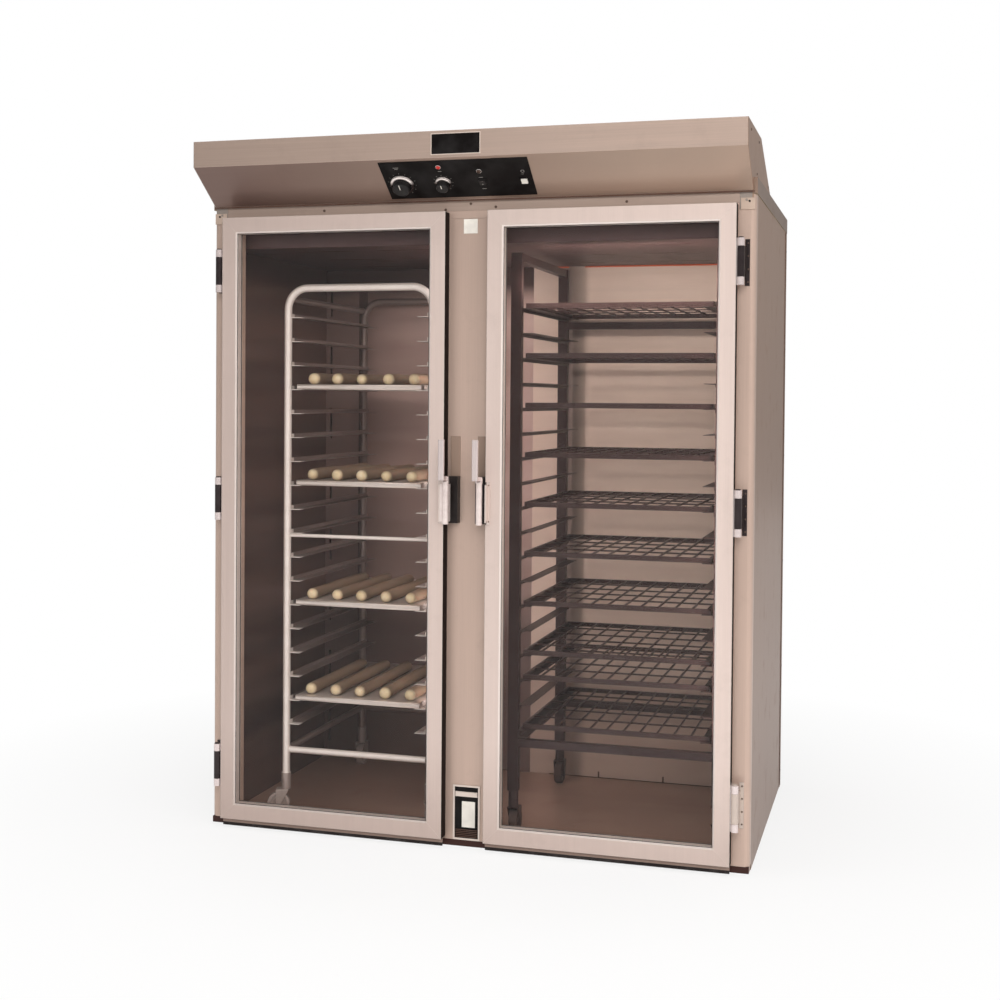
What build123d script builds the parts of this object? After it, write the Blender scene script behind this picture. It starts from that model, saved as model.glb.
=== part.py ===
from build123d import *
import os
from math import atan2, cos, degrees, hypot, radians, sin

# Roll-in proofing cabinet, two glazed doors, with a rack in each bay.
# Frame: X to the right along the front, Y to the back, Z up.
# The origin is on the floor, at the middle of the base.
# Lengths are in millimetres. Depths are counted back from the face of the cabinet.

os.makedirs("parts", exist_ok=True)

# Cabinet body
body_width = 1790
body_depth = 1060
roof_top = 2100
roof_thickness = 50
roof_overhang = 2
floor_thickness = 20
skin = 1.2
seam = 0.3
wall_thickness = 36
post_depth = 40
post_corner_radius = 18
doorway_outer = 800
doorway_top = 2000
mullion_half_width = 85
mullion_depth = 40
ceiling_height = 1925
ceiling_start = 48
rear_duct_depth = 870
rear_wall_depth = 1000
back_return = 45
tube_wall = 1.5
bearer_width = 40
bearer_count = 5
duct_slot_length = 120
duct_slot_width = 8
duct_slot_count = 8
duct_slot_inset = 22
ceiling_slot_length = 200
ceiling_slot_width = 10
ceiling_slot_rows = 3

# Hood
hood_half_width = 886
hood_projection = 165
hood_top = 2249
fold_height = 2167
hood_bottom = 2059
slope_foot = 12
hood_flat_depth = 200
hood_rear_depth = 540
hood_sheet = 1.5
flange_height = 35
tab_width = 41
tab_height = 54
screw_radius = 4
screw_head = 2

# Controls on the slope, placed by their distance down the slope from the fold
panel_left = -257
panel_right = 223
panel_start = 12
panel_length = 162
panel_thickness = 2
control_row = 107
temperature_knob_x = -202
humidity_knob_x = -66
fan_switch_x = 60
power_switch_x = 195
temperature_knob_radius = 38
humidity_knob_radius = 26
knob_height = 28
knob_skirt = 6
knob_lift = 0.6
shaft_radius = 3
running_gap = 0.05
shaft_length = 20
control_box = 44
control_box_depth = 36
lamp_radius = 6.5
lamp_height = 5
red_lamp_drop = 39
small_lamp_drop = 62
rocker_size = 20
rocker_gap = 1.2
rocker_row = 112
rocker_height = 5
rocker_depth = 6
bezel_width = 4
bezel_height = 2
rocker_pin_radius = 1.5

# Blank plates
badge_width = 159
badge_height = 66
badge_thickness = 2
tile_size = 46
tile_height = 1975
tile_thickness = 2
service_width = 90
service_height = 176
service_bottom = 21
service_bezel = 8
service_thickness = 4
service_insert_width = 42
service_insert_height = 84

# Heat and humidity unit on the roof
blower_depth = 210
blower_radius = 60
blower_height = 46
blower_gap = 8
blower_sheet = 1.5
blower_blades = 18
blower_shaft_radius = 4
collar_radius = 50
collar_gap = 0.5
motor_radius = 38
motor_height = 40
heater_x = 300
heater_length = 260
heater_pitch = 40
heater_radius = 5
water_pan_x = -330
water_pan_length = 240
water_pan_width = 150
water_pan_height = 60
inlet_x = 520
inlet_radius = 10.5
inlet_length = 26
gland_x = -520
gland_radius = 11
gland_bore = 6.5
gland_length = 24

# Doors
door_inner_edge = 69
door_outer_edge = 841
door_bottom = 31
door_top = 2018
door_front = -50
door_rear = -8
door_frame_width = 53
door_bead = 5
door_extrusion_wall = 3
groove_depth = 12
pane_thickness = 4
pane_gap = 0.3
outer_pane_front = -44
inner_pane_front = -18
mitre_gap = 0.2
gasket_width = 12
gasket_gap = 0.3
sweep_height = 26
sweep_thickness = 6

# Hinges
hinge_axis_x = 854.5
hinge_axis_depth = -46
hinge_heights = (208, 1093, 1844)
hinge_length = 140
hinge_end_knuckle = 24
hinge_knuckle_radius = 11
hinge_pin_radius = 5
hinge_leaf = 2.5
hinge_web = 3
hinge_leaf_depth = 34
frame_leaf_width = 14
hinge_gap = 0.3
pin_head_radius = 8
pin_head_height = 3

# Latches
latch_x = 55
latch_barrel_depth = -72
latch_bottom = 1035
latch_barrel_length = 134
latch_barrel_radius = 10
latch_plate_width = 14
latch_plate_thickness = 4
latch_ear = 3
latch_hub_radius = 9
latch_hub_width = 12
latch_pin_radius = 3
grip_depth = -117
grip_width = 20
grip_thickness = 12
grip_length = 124
strike_near = 29
strike_far = 61
strike_height = 275
strike_plate = 2
strike_block_depth = 28
strike_block_height = 148

# Casters
wheel_radius = 37.5
wheel_width = 28
wheel_gap = 0.3
wheel_hub_radius = 12
caster_trail = 25
caster_axle_radius = 4
fork_sheet = 3
fork_side_gap = 2
fork_plate = 42
fork_top = 106
fork_eye = 8
stem_radius = 6
stem_gap = 0.05
socket_radius = 16
socket_height = 55
plate_gap = 0.3
left_swivel_turns = (-160, 75)
right_swivel_turns = (90, 60)

# Left rack, round tube
left_rack_left = -683
left_rack_right = -146
left_rack_front = 86
left_rack_depth = 720
left_rack_top = 1808
rack_tube_radius = 12.7
rack_tube_wall = 2
rack_corner_radius = 70
rail_height = 240
brace_level = 8
brace_radius = 6
left_first_level = 329
left_level_pitch = 80.5
left_level_count = 18
left_loaded_levels = (1, 5, 10, 14)
ledge_width = 38
ledge_thickness = 1.6
ledge_lip = 12
weld_gap = 0.1
tray_width = 441
tray_depth = 640
tray_height = 17
tray_sheet = 1.6
tray_setback = 6
dough_radius = 21
dough_length = 520
dough_pitch = 89
dough_count = 5
dough_setback = 20
dough_flat = 3

# Right rack, channel uprights
right_rack_left = 105
right_rack_right = 800
right_rack_front = 105
right_rack_depth = 665
right_rack_top = 1900
upright_width = 35
upright_depth = 25
rack_rail = 25
right_rail_height = 318
right_first_level = 362
right_level_pitch = 80
right_level_count = 18
right_loaded_levels = (0, 2, 3, 5, 7, 9, 11, 13, 15, 17)
shelf_side_gap = 10
shelf_depth = 628
shelf_height = 16
shelf_thickness = 5
shelf_band = 2
shelf_rim = 8
shelf_wire = 5
shelf_columns = 11
shelf_rows = 5

# Places worked out from the sizes above
face = -body_depth / 2
rear = body_depth / 2
half_width = body_width / 2
roof_underside = roof_top - roof_thickness
liner_x = half_width - wall_thickness
slope_run = hood_projection - slope_foot
slope_drop = fold_height - hood_bottom
slope_length = hypot(slope_run, slope_drop)
slope_angle = atan2(slope_drop, slope_run)
rear_run = hood_rear_depth - hood_flat_depth
rear_drop = hood_top - roof_top
slope = Plane(
    origin=(0, face - hood_projection, fold_height),
    x_dir=(1, 0, 0),
    z_dir=(0, -sin(slope_angle), -cos(slope_angle)),
)
rear_slope = Plane(
    origin=(0, face + hood_flat_depth + rear_run / 2, hood_top - rear_drop / 2),
    x_dir=(1, 0, 0),
    z_dir=(0, rear_drop, rear_run),
)


def save(builder, node):
    builder.part.label = node
    export_step(builder.part, f"parts/{node}.step")


def bar(x0, x1, y0, y1, z0, z1, mode=Mode.ADD):
    with Locations(((x0 + x1) / 2, (y0 + y1) / 2, (z0 + z1) / 2)):
        Box(abs(x1 - x0), y1 - y0, z1 - z0, mode=mode)


def tube_box(x0, x1, y0, y1, z0, z1, wall, along):
    bar(x0, x1, y0, y1, z0, z1)
    inset = [wall, wall, wall]
    inset["XYZ".index(along)] = 0
    dx, dy, dz = inset
    low, high = min(x0, x1), max(x0, x1)
    bar(low + dx, high - dx, y0 + dy, y1 - dy, z0 + dz, z1 - dz, mode=Mode.SUBTRACT)


def rod(start, end, radius, mode=Mode.ADD):
    run = Vector(*end) - Vector(*start)
    with Locations(Plane(origin=start, z_dir=run)):
        Cylinder(radius, run.length, align=(Align.CENTER, Align.CENTER, Align.MIN), mode=mode)


def pipe(start, end, radius, wall):
    rod(start, end, radius)
    rod(start, end, radius - wall, mode=Mode.SUBTRACT)


# Floor pan: a pressed top sheet on bearers that stand on the floor
with BuildPart() as floor_pan:
    pan_x = half_width - skin - seam
    pan_back = rear - skin - seam
    bar(-pan_x, pan_x, face, pan_back, 0, floor_thickness)
    bearer_step = body_depth / bearer_count
    for index in range(bearer_count):
        middle = face + bearer_step * (index + 0.5)
        if index == 0:
            start = face + skin
        else:
            start = middle - bearer_step / 2 + bearer_width / 2
        end = pan_back - skin if index == bearer_count - 1 else middle + bearer_step / 2 - bearer_width / 2
        if start < 0 < end:
            bar(-pan_x + skin, pan_x - skin, start, -bearer_width / 2, 0, floor_thickness - skin, mode=Mode.SUBTRACT)
            bar(-pan_x + skin, pan_x - skin, bearer_width / 2, end, 0, floor_thickness - skin, mode=Mode.SUBTRACT)
        else:
            bar(-pan_x + skin, pan_x - skin, start, end, 0, floor_thickness - skin, mode=Mode.SUBTRACT)
save(floor_pan, "floor_pan")

# Corner posts, header and door stops of the face
with BuildPart() as face_frame:
    for side in (-1, 1):
        with BuildSketch(Plane.XY.offset(floor_thickness + seam)) as post:
            with Locations((side * (doorway_outer + half_width) / 2, face + post_depth / 2)):
                Rectangle(half_width - doorway_outer, post_depth)
            outer = post.vertices().group_by(Axis.Y)[0].sort_by(Axis.X)[0 if side < 0 else -1]
            fillet(outer, post_corner_radius)
            offset(amount=-tube_wall, mode=Mode.SUBTRACT)
        extrude(amount=roof_underside - floor_thickness - 2 * seam)
    header_x = doorway_outer - seam
    tube_box(-header_x, header_x, face, face + post_depth, doorway_top, roof_underside - seam, tube_wall, "X")
save(face_frame, "face_frame")

# Mullion between the two doorways
with BuildPart() as center_mullion:
    tube_box(
        -mullion_half_width, mullion_half_width, face, face + mullion_depth,
        floor_thickness, doorway_top - seam, tube_wall, "Z",
    )
save(center_mullion, "center_mullion")

# Side panels, flat sheets from the corner posts to the back
for side, node in ((-1, "left_side_panel"), (1, "right_side_panel")):
    with BuildPart() as side_panel:
        bar(
            side * (half_width - skin), side * half_width,
            face + post_depth + seam, rear - skin, 0, roof_underside - seam,
        )
    save(side_panel, node)

# Back panel, with a return that laps over each side panel
with BuildPart() as back_panel:
    lap_x = half_width + skin
    bar(-lap_x, lap_x, rear - skin, rear, 0, roof_underside - seam)
    for side in (-1, 1):
        bar(side * half_width, side * lap_x, rear - back_return, rear, 0, roof_underside - seam)
save(back_panel, "back_panel")

# Roof panel, a tray turned down over the top edge
with BuildPart() as roof_panel:
    roof_x = half_width + roof_overhang
    roof_rear = rear + roof_overhang
    bar(-roof_x, roof_x, face, roof_rear, roof_underside, roof_top)
    bar(
        -roof_x + skin, roof_x - skin, face + skin, roof_rear - skin,
        roof_underside, roof_top - skin, mode=Mode.SUBTRACT,
    )
    collar_hole = collar_radius + collar_gap
    rod((0, face + blower_depth, roof_underside), (0, face + blower_depth, roof_top), collar_hole, Mode.SUBTRACT)
save(roof_panel, "roof_panel")

# Inner liners: both side walls and the back of the rear duct
with BuildPart() as inner_liners:
    liner_front = face + post_depth + seam
    liner_back = face + rear_wall_depth
    liner_top = roof_underside - seam
    for side in (-1, 1):
        bar(side * liner_x, side * (liner_x + skin), liner_front, liner_back, floor_thickness, liner_top)
    bar(-liner_x + seam, liner_x - seam, liner_back - skin, liner_back, floor_thickness, liner_top)
save(inner_liners, "inner_liners")

# Insulation slabs in the side walls, the back and the roof
with BuildPart() as insulation:
    slab_top = roof_underside - 1
    for side in (-1, 1):
        bar(
            side * (liner_x + skin + seam), side * (half_width - skin - seam),
            liner_front + seam, liner_back - seam, floor_thickness + seam, slab_top,
        )
    bar(
        -(half_width - skin - seam), half_width - skin - seam,
        liner_back + seam, rear - skin - seam, floor_thickness + seam, slab_top,
    )
    bar(
        -roof_x + skin + seam, roof_x - skin - seam, face + skin + seam, roof_rear - skin - seam,
        roof_underside + seam, roof_top - skin - seam,
    )
    roof_hole = collar_radius + 2 * collar_gap
    rod((0, face + blower_depth, roof_underside), (0, face + blower_depth, roof_top), roof_hole, Mode.SUBTRACT)
save(insulation, "insulation")

# Rear duct panel, the back wall that is seen through the glass
with BuildPart() as rear_duct_panel:
    duct_x = liner_x - seam
    duct_y = face + rear_duct_depth
    bar(-duct_x, duct_x, duct_y, duct_y + skin, floor_thickness, ceiling_height - seam)
    slot_step = (ceiling_height - floor_thickness) / duct_slot_count
    for side in (-1, 1):
        for index in range(duct_slot_count):
            slot_z = floor_thickness + slot_step * (index + 0.5)
            slot_x = side * (liner_x - duct_slot_inset)
            bar(
                slot_x - duct_slot_width / 2, slot_x + duct_slot_width / 2, duct_y, duct_y + skin,
                slot_z - duct_slot_length / 2, slot_z + duct_slot_length / 2, mode=Mode.SUBTRACT,
            )
save(rear_duct_panel, "rear_duct_panel")

# Ceiling duct panel, slotted, with a front plate up to the header
with BuildPart() as ceiling_duct_panel:
    ceiling_front = face + ceiling_start
    bar(-duct_x, duct_x, ceiling_front, duct_y + skin, ceiling_height, ceiling_height + skin)
    bar(-duct_x, duct_x, ceiling_front, ceiling_front + skin, ceiling_height, roof_underside - 2)
    row_step = (rear_duct_depth - ceiling_start) / ceiling_slot_rows
    for side in (-1, 1):
        for row in range(ceiling_slot_rows):
            row_y = ceiling_front + row_step * (row + 0.5)
            for column in (1, 2):
                slot_x = side * column * liner_x / 3
                bar(
                    slot_x - ceiling_slot_length / 2, slot_x + ceiling_slot_length / 2,
                    row_y - ceiling_slot_width / 2, row_y + ceiling_slot_width / 2,
                    ceiling_height, ceiling_height + skin, mode=Mode.SUBTRACT,
                )
save(ceiling_duct_panel, "ceiling_duct_panel")

# Hood front: flat top edge, fascia, slope and the flange that lies on the face
with BuildPart() as hood_front:
    with BuildSketch(Plane.YZ) as hood_profile:
        with BuildLine():
            Polyline(
                (face + hood_flat_depth / 2, hood_top),
                (face - hood_projection, hood_top),
                (face - hood_projection, fold_height),
                (face - slope_foot, hood_bottom),
                (face - hood_sheet, hood_bottom),
                (face - hood_sheet, hood_bottom - flange_height),
            )
            offset(amount=hood_sheet, side=Side.LEFT)
        make_face()
    extrude(amount=hood_half_width - hood_sheet, both=True)
    with BuildSketch(slope):
        for knob_x in (temperature_knob_x, humidity_knob_x):
            with Locations((knob_x, -control_row)):
                Circle(2 * shaft_radius)
        for switch_x in (fan_switch_x, power_switch_x):
            with Locations((switch_x, -rocker_row)):
                Rectangle(rocker_size + 2 * rocker_gap, rocker_size + 2 * rocker_gap)
        with Locations((humidity_knob_x, -red_lamp_drop), (fan_switch_x, -small_lamp_drop)):
            Circle(lamp_radius - 1)
    extrude(amount=2 * hood_sheet, both=True, mode=Mode.SUBTRACT)
save(hood_front, "hood_front")

# Hood cover: the rest of the top and the slope down to the roof
with BuildPart() as hood_cover:
    cover_x = hood_half_width - hood_sheet
    with BuildSketch(Plane.YZ) as cover_profile:
        with BuildLine():
            Polyline(
                (face + hood_flat_depth / 2 + seam, hood_top),
                (face + hood_flat_depth, hood_top),
                (face + hood_rear_depth, roof_top + hood_sheet),
                (face + hood_rear_depth + flange_height, roof_top + hood_sheet),
            )
            offset(amount=hood_sheet, side=Side.RIGHT)
        make_face()
    extrude(amount=cover_x, both=True)
    with BuildSketch(rear_slope):
        with Locations((inlet_x, 0)):
            Circle(inlet_radius + collar_gap)
        with Locations((gland_x, 0)):
            Circle(gland_radius - 2)
    extrude(amount=3 * hood_sheet, both=True, mode=Mode.SUBTRACT)
save(hood_cover, "hood_cover")

# Hood end caps, each with a tab that is screwed to the face
with BuildPart() as hood_end_caps:
    for side in (-1, 1):
        cap_plane = Plane.YZ.offset(side * (hood_half_width - hood_sheet) if side > 0 else -hood_half_width)
        with BuildSketch(cap_plane):
            with BuildLine():
                Polyline(
                    (face - hood_projection, hood_top),
                    (face + hood_flat_depth, hood_top),
                    (face + hood_rear_depth, roof_top),
                    (face, roof_top),
                    (face, hood_bottom),
                    (face - slope_foot, hood_bottom),
                    (face - hood_projection, fold_height),
                    close=True,
                )
            make_face()
        extrude(amount=hood_sheet)
        tab_y = face - 2 * hood_sheet
        bar(
            side * (hood_half_width - tab_width), side * hood_half_width,
            tab_y, tab_y + hood_sheet, hood_bottom - tab_height, hood_bottom,
        )
        bar(
            side * (hood_half_width - hood_sheet), side * hood_half_width,
            tab_y, face, hood_bottom - tab_height, hood_bottom,
        )
        screw_z = hood_bottom - tab_height / 2
        screw_x = side * (hood_half_width - tab_width / 2)
        rod((screw_x, tab_y, screw_z), (screw_x, tab_y - screw_head, screw_z), screw_radius)
save(hood_end_caps, "hood_end_caps")

# Black control panel on the slope, with moulded surrounds for the two rockers
with BuildPart() as control_panel:
    panel_x = (panel_left + panel_right) / 2
    panel_width = panel_right - panel_left
    with BuildSketch(slope):
        with Locations((panel_x, -panel_start - panel_length / 2)):
            Rectangle(panel_width, panel_length)
    extrude(amount=panel_thickness)
    rocker_hole = rocker_size + 2 * rocker_gap
    with BuildSketch(slope.offset(panel_thickness)):
        with Locations((fan_switch_x, -rocker_row), (power_switch_x, -rocker_row)):
            Rectangle(rocker_hole + 2 * bezel_width, rocker_hole + 2 * bezel_width)
    extrude(amount=bezel_height)
    with BuildSketch(slope):
        with Locations((temperature_knob_x, -control_row), (humidity_knob_x, -control_row)):
            Circle(2 * shaft_radius)
        with Locations((fan_switch_x, -rocker_row), (power_switch_x, -rocker_row)):
            Rectangle(rocker_hole, rocker_hole)
        with Locations((humidity_knob_x, -red_lamp_drop), (fan_switch_x, -small_lamp_drop)):
            Circle(lamp_radius - 1)
    extrude(amount=panel_thickness + bezel_height, mode=Mode.SUBTRACT)
save(control_panel, "control_panel")

# Pilot lamps: a domed lens on a stem that passes through the panel
with BuildPart() as pilot_lamps:
    for lamp_x, lamp_drop in ((humidity_knob_x, red_lamp_drop), (fan_switch_x, small_lamp_drop)):
        with BuildSketch(slope.offset(panel_thickness)):
            with Locations((lamp_x, -lamp_drop)):
                Circle(lamp_radius)
        lens = extrude(amount=lamp_height)
        fillet(lens.edges().filter_by(GeomType.CIRCLE).sort_by(Axis.Z)[0], lamp_height / 2)
        with BuildSketch(slope.offset(-control_box_depth / 2)):
            with Locations((lamp_x, -lamp_drop)):
                Circle(lamp_radius - 1 - collar_gap)
        extrude(amount=control_box_depth / 2 + panel_thickness)
save(pilot_lamps, "pilot_lamps")

# Thermostat, humidistat and switch bodies behind the panel
with BuildPart() as control_bodies:
    for knob_x in (temperature_knob_x, humidity_knob_x):
        with BuildSketch(slope.offset(-hood_sheet - control_box_depth)):
            with Locations((knob_x, -control_row)):
                Rectangle(control_box, control_box)
        extrude(amount=control_box_depth)
        with BuildSketch(slope.offset(-hood_sheet - 1)):
            with Locations((knob_x, -control_row)):
                Circle(shaft_radius)
        extrude(amount=hood_sheet + 1 + panel_thickness + shaft_length)
    carrier = rocker_hole + 2 * bezel_width
    for switch_x in (fan_switch_x, power_switch_x):
        with BuildSketch(slope.offset(-hood_sheet - control_box_depth)):
            with Locations((switch_x, -rocker_row)):
                Rectangle(carrier, carrier)
        extrude(amount=control_box_depth)
        with BuildSketch(slope.offset(-hood_sheet - control_box_depth / 2)):
            with Locations((switch_x, -rocker_row)):
                Rectangle(rocker_hole, rocker_hole)
        extrude(amount=control_box_depth / 2, mode=Mode.SUBTRACT)
        pin_plane = Plane(
            origin=slope.from_local_coords((switch_x - carrier / 2, -rocker_row, -hood_sheet - rocker_pin_radius * 2)),
            z_dir=(1, 0, 0),
        )
        with BuildSketch(pin_plane):
            Circle(rocker_pin_radius + running_gap)
        extrude(amount=carrier, mode=Mode.SUBTRACT)
save(control_bodies, "control_bodies")

# Knobs: a skirt that carries the bright ring, and a grip with a pointer rib
for node, knob_x, knob_radius in (
    ("temperature_knob", temperature_knob_x, temperature_knob_radius),
    ("humidity_knob", humidity_knob_x, humidity_knob_radius),
):
    knob_base = slope.offset(panel_thickness + knob_lift)
    knob_plane = Plane(
        origin=knob_base.from_local_coords((knob_x, -control_row, 0)),
        x_dir=(1, 0, 0),
        z_dir=slope.z_dir,
    )
    with BuildPart(knob_plane) as knob:
        with BuildSketch(knob_plane):
            Circle(knob_radius)
        extrude(amount=knob_skirt)
        with BuildSketch(knob_plane.offset(knob_skirt)):
            Circle(knob_radius * 0.72)
        extrude(amount=knob_height - knob_skirt)
        knob_rim = knob.edges().filter_by(GeomType.CIRCLE).sort_by(Axis((0, 0, 0), tuple(slope.z_dir)))[-1]
        chamfer(knob_rim, 2)
        with BuildSketch(knob_plane.offset(knob_skirt)):
            with Locations((0, knob_radius / 3)):
                Rectangle(knob_radius * 0.14, knob_radius * 0.7)
        extrude(amount=knob_height - knob_skirt + 1)
        with BuildSketch(knob_plane):
            Circle(shaft_radius + running_gap)
        extrude(amount=shaft_length, mode=Mode.SUBTRACT)
    save(knob, node)

# Rockers, each on two stub pins in its carrier
for node, switch_x in (("fan_rocker", fan_switch_x), ("power_rocker", power_switch_x)):
    with BuildPart() as rocker:
        with BuildSketch(slope.offset(-rocker_depth)):
            with Locations((switch_x, -rocker_row)):
                Rectangle(rocker_size, rocker_size)
        extrude(amount=rocker_depth + rocker_height)
        fillet(rocker.edges().filter_by(Axis(origin=(0, 0, 0), direction=tuple(slope.z_dir))), 1.5)
        stub = rocker_hole + bezel_width
        pin_plane = Plane(
            origin=slope.from_local_coords((switch_x - stub / 2, -rocker_row, -hood_sheet - rocker_pin_radius * 2)),
            z_dir=(1, 0, 0),
        )
        with BuildSketch(pin_plane):
            Circle(rocker_pin_radius)
        extrude(amount=stub)
    save(rocker, node)

# Blank plates: name plate on the fascia, label tile and service plate on the mullion
with BuildPart() as blank_plates:
    fascia_middle = (hood_top + fold_height) / 2
    badge_back = face - hood_projection
    bar(
        -badge_width / 2, badge_width / 2, badge_back - badge_thickness, badge_back,
        fascia_middle - badge_height / 2, fascia_middle + badge_height / 2,
    )
    bar(
        -tile_size / 2, tile_size / 2, face - tile_thickness, face,
        tile_height - tile_size / 2, tile_height + tile_size / 2,
    )
    service_top = service_bottom + service_height
    bar(-service_width / 2, service_width / 2, face - service_thickness, face, service_bottom, service_top)
    bar(
        -service_width / 2 + service_bezel, service_width / 2 - service_bezel,
        face - service_thickness, face - service_thickness / 2,
        service_bottom + service_bezel, service_top - service_bezel, mode=Mode.SUBTRACT,
    )
    insert_left = -service_insert_width / 3
    insert_bottom = service_bottom + service_height / 4
    bar(
        insert_left, insert_left + service_insert_width, face - service_thickness, face - service_thickness / 2,
        insert_bottom, insert_bottom + service_insert_height,
    )
save(blank_plates, "blank_plates")

# Blower housing on the roof, with the collar that passes down to the ceiling duct
blower_y = face + blower_depth
blower_bottom = roof_top + blower_sheet
blower_top = blower_bottom + blower_height + 2 * blower_gap
with BuildPart() as blower_housing:
    shell = blower_radius + blower_gap + blower_sheet
    rod((0, blower_y, roof_top), (0, blower_y, blower_top + blower_sheet), shell)
    rod((0, blower_y, blower_bottom), (0, blower_y, blower_top), shell - blower_sheet, Mode.SUBTRACT)
    rod((0, blower_y, roof_underside - 2), (0, blower_y, roof_top), collar_radius)
    collar_bore = collar_radius - blower_sheet
    rod((0, blower_y, roof_underside - 2), (0, blower_y, blower_bottom), collar_bore, Mode.SUBTRACT)
    rod((0, blower_y, blower_top), (0, blower_y, blower_top + blower_sheet), 2 * blower_shaft_radius, Mode.SUBTRACT)
save(blower_housing, "blower_housing")

# Blower wheel: hub, back plate, blades and a top ring
with BuildPart() as blower_wheel:
    wheel_bottom = blower_bottom + blower_gap
    wheel_top = wheel_bottom + blower_height
    rod((0, blower_y, wheel_top - blower_sheet), (0, blower_y, wheel_top), blower_radius)
    rod((0, blower_y, wheel_top - blower_height / 2), (0, blower_y, wheel_top), 2 * blower_shaft_radius)
    with BuildSketch(Plane(origin=(0, blower_y, wheel_bottom))):
        Circle(blower_radius)
        Circle(blower_radius - 12, mode=Mode.SUBTRACT)
    extrude(amount=blower_sheet)
    with BuildSketch(Plane(origin=(0, blower_y, wheel_bottom))):
        with PolarLocations(blower_radius - 6, blower_blades):
            Rectangle(11, blower_sheet, rotation=30)
    extrude(amount=blower_height)
    bore = blower_shaft_radius + running_gap
    rod((0, blower_y, wheel_bottom), (0, blower_y, wheel_top), bore, Mode.SUBTRACT)
save(blower_wheel, "blower_wheel")

# Blower motor on the housing, with its shaft down into the wheel
with BuildPart() as blower_motor:
    motor_base = blower_top + blower_sheet
    rod((0, blower_y, motor_base), (0, blower_y, motor_base + motor_height), motor_radius)
    fillet(blower_motor.faces().sort_by(Axis.Z)[-1].edges(), 4)
    rod((0, blower_y, wheel_top - blower_height / 2), (0, blower_y, motor_base + 1), blower_shaft_radius)
save(blower_motor, "blower_motor")

# Heater element: a sheathed rod in a hairpin, on two feet
with BuildPart() as heater_element:
    heater_z = roof_top + 40
    with BuildLine() as heater_path:
        straight = heater_length - heater_pitch / 2
        Line((heater_x, blower_y - heater_pitch / 2, heater_z), (heater_x + straight, blower_y - heater_pitch / 2, heater_z))
        ThreePointArc(
            (heater_x + straight, blower_y - heater_pitch / 2, heater_z),
            (heater_x + heater_length, blower_y, heater_z),
            (heater_x + straight, blower_y + heater_pitch / 2, heater_z),
        )
        Line((heater_x + straight, blower_y + heater_pitch / 2, heater_z), (heater_x, blower_y + heater_pitch / 2, heater_z))
    with BuildSketch(heater_path.line ^ 0):
        Circle(heater_radius)
    sweep()
    for foot_x in (heater_x + 20, heater_x + straight - 20):
        bar(
            foot_x - 2, foot_x + 2, blower_y - heater_pitch, blower_y + heater_pitch,
            roof_top, heater_z,
        )
save(heater_element, "heater_element")

# Humidifier pan, an open water tray on the roof
with BuildPart() as humidifier_pan:
    pan_left = water_pan_x - water_pan_length / 2
    pan_right = water_pan_x + water_pan_length / 2
    pan_front = blower_y - water_pan_width / 2
    pan_rear = blower_y + water_pan_width / 2
    bar(pan_left, pan_right, pan_front, pan_rear, roof_top, roof_top + water_pan_height)
    bar(
        pan_left + skin, pan_right - skin, pan_front + skin, pan_rear - skin,
        roof_top + skin, roof_top + water_pan_height, mode=Mode.SUBTRACT,
    )
save(humidifier_pan, "humidifier_pan")

# Water inlet nipple and cable gland on the rear slope of the hood
with BuildPart() as water_inlet:
    with BuildSketch(rear_slope.offset(-hood_sheet * 3)):
        with Locations((inlet_x, 0)):
            Circle(inlet_radius)
            Circle(inlet_radius - 3, mode=Mode.SUBTRACT)
    extrude(amount=inlet_length + hood_sheet * 4)
    with BuildSketch(rear_slope.offset(hood_sheet)):
        with Locations((inlet_x, 0)):
            RegularPolygon(inlet_radius + 6, 6)
            Circle(inlet_radius - 3, mode=Mode.SUBTRACT)
    extrude(amount=6)
save(water_inlet, "water_inlet")

with BuildPart() as cable_gland:
    with BuildSketch(rear_slope.offset(hood_sheet)):
        with Locations((gland_x, 0)):
            RegularPolygon(gland_radius + 4, 6)
            Circle(gland_bore, mode=Mode.SUBTRACT)
    extrude(amount=6)
    with BuildSketch(rear_slope.offset(hood_sheet)):
        with Locations((gland_x, 0)):
            Circle(gland_radius)
            Circle(gland_bore, mode=Mode.SUBTRACT)
    extrude(amount=gland_length)
    with BuildSketch(rear_slope.offset(-hood_sheet * 3)):
        with Locations((gland_x, 0)):
            Circle(gland_radius - 2 - collar_gap)
            Circle(gland_bore, mode=Mode.SUBTRACT)
    extrude(amount=hood_sheet * 5)
save(cable_gland, "cable_gland")


def ring_box(side, inset, depth0, depth1):
    """A closed block over the door's outline, drawn in by inset."""
    inner = door_inner_edge + inset
    outer = door_outer_edge - inset
    wide = outer - inner
    tall = door_top - door_bottom - 2 * inset
    middle = (side * (inner + outer) / 2, face + (depth0 + depth1) / 2, (door_top + door_bottom) / 2)
    return Pos(*middle) * Box(wide, depth1 - depth0, tall, mode=Mode.PRIVATE)


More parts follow.
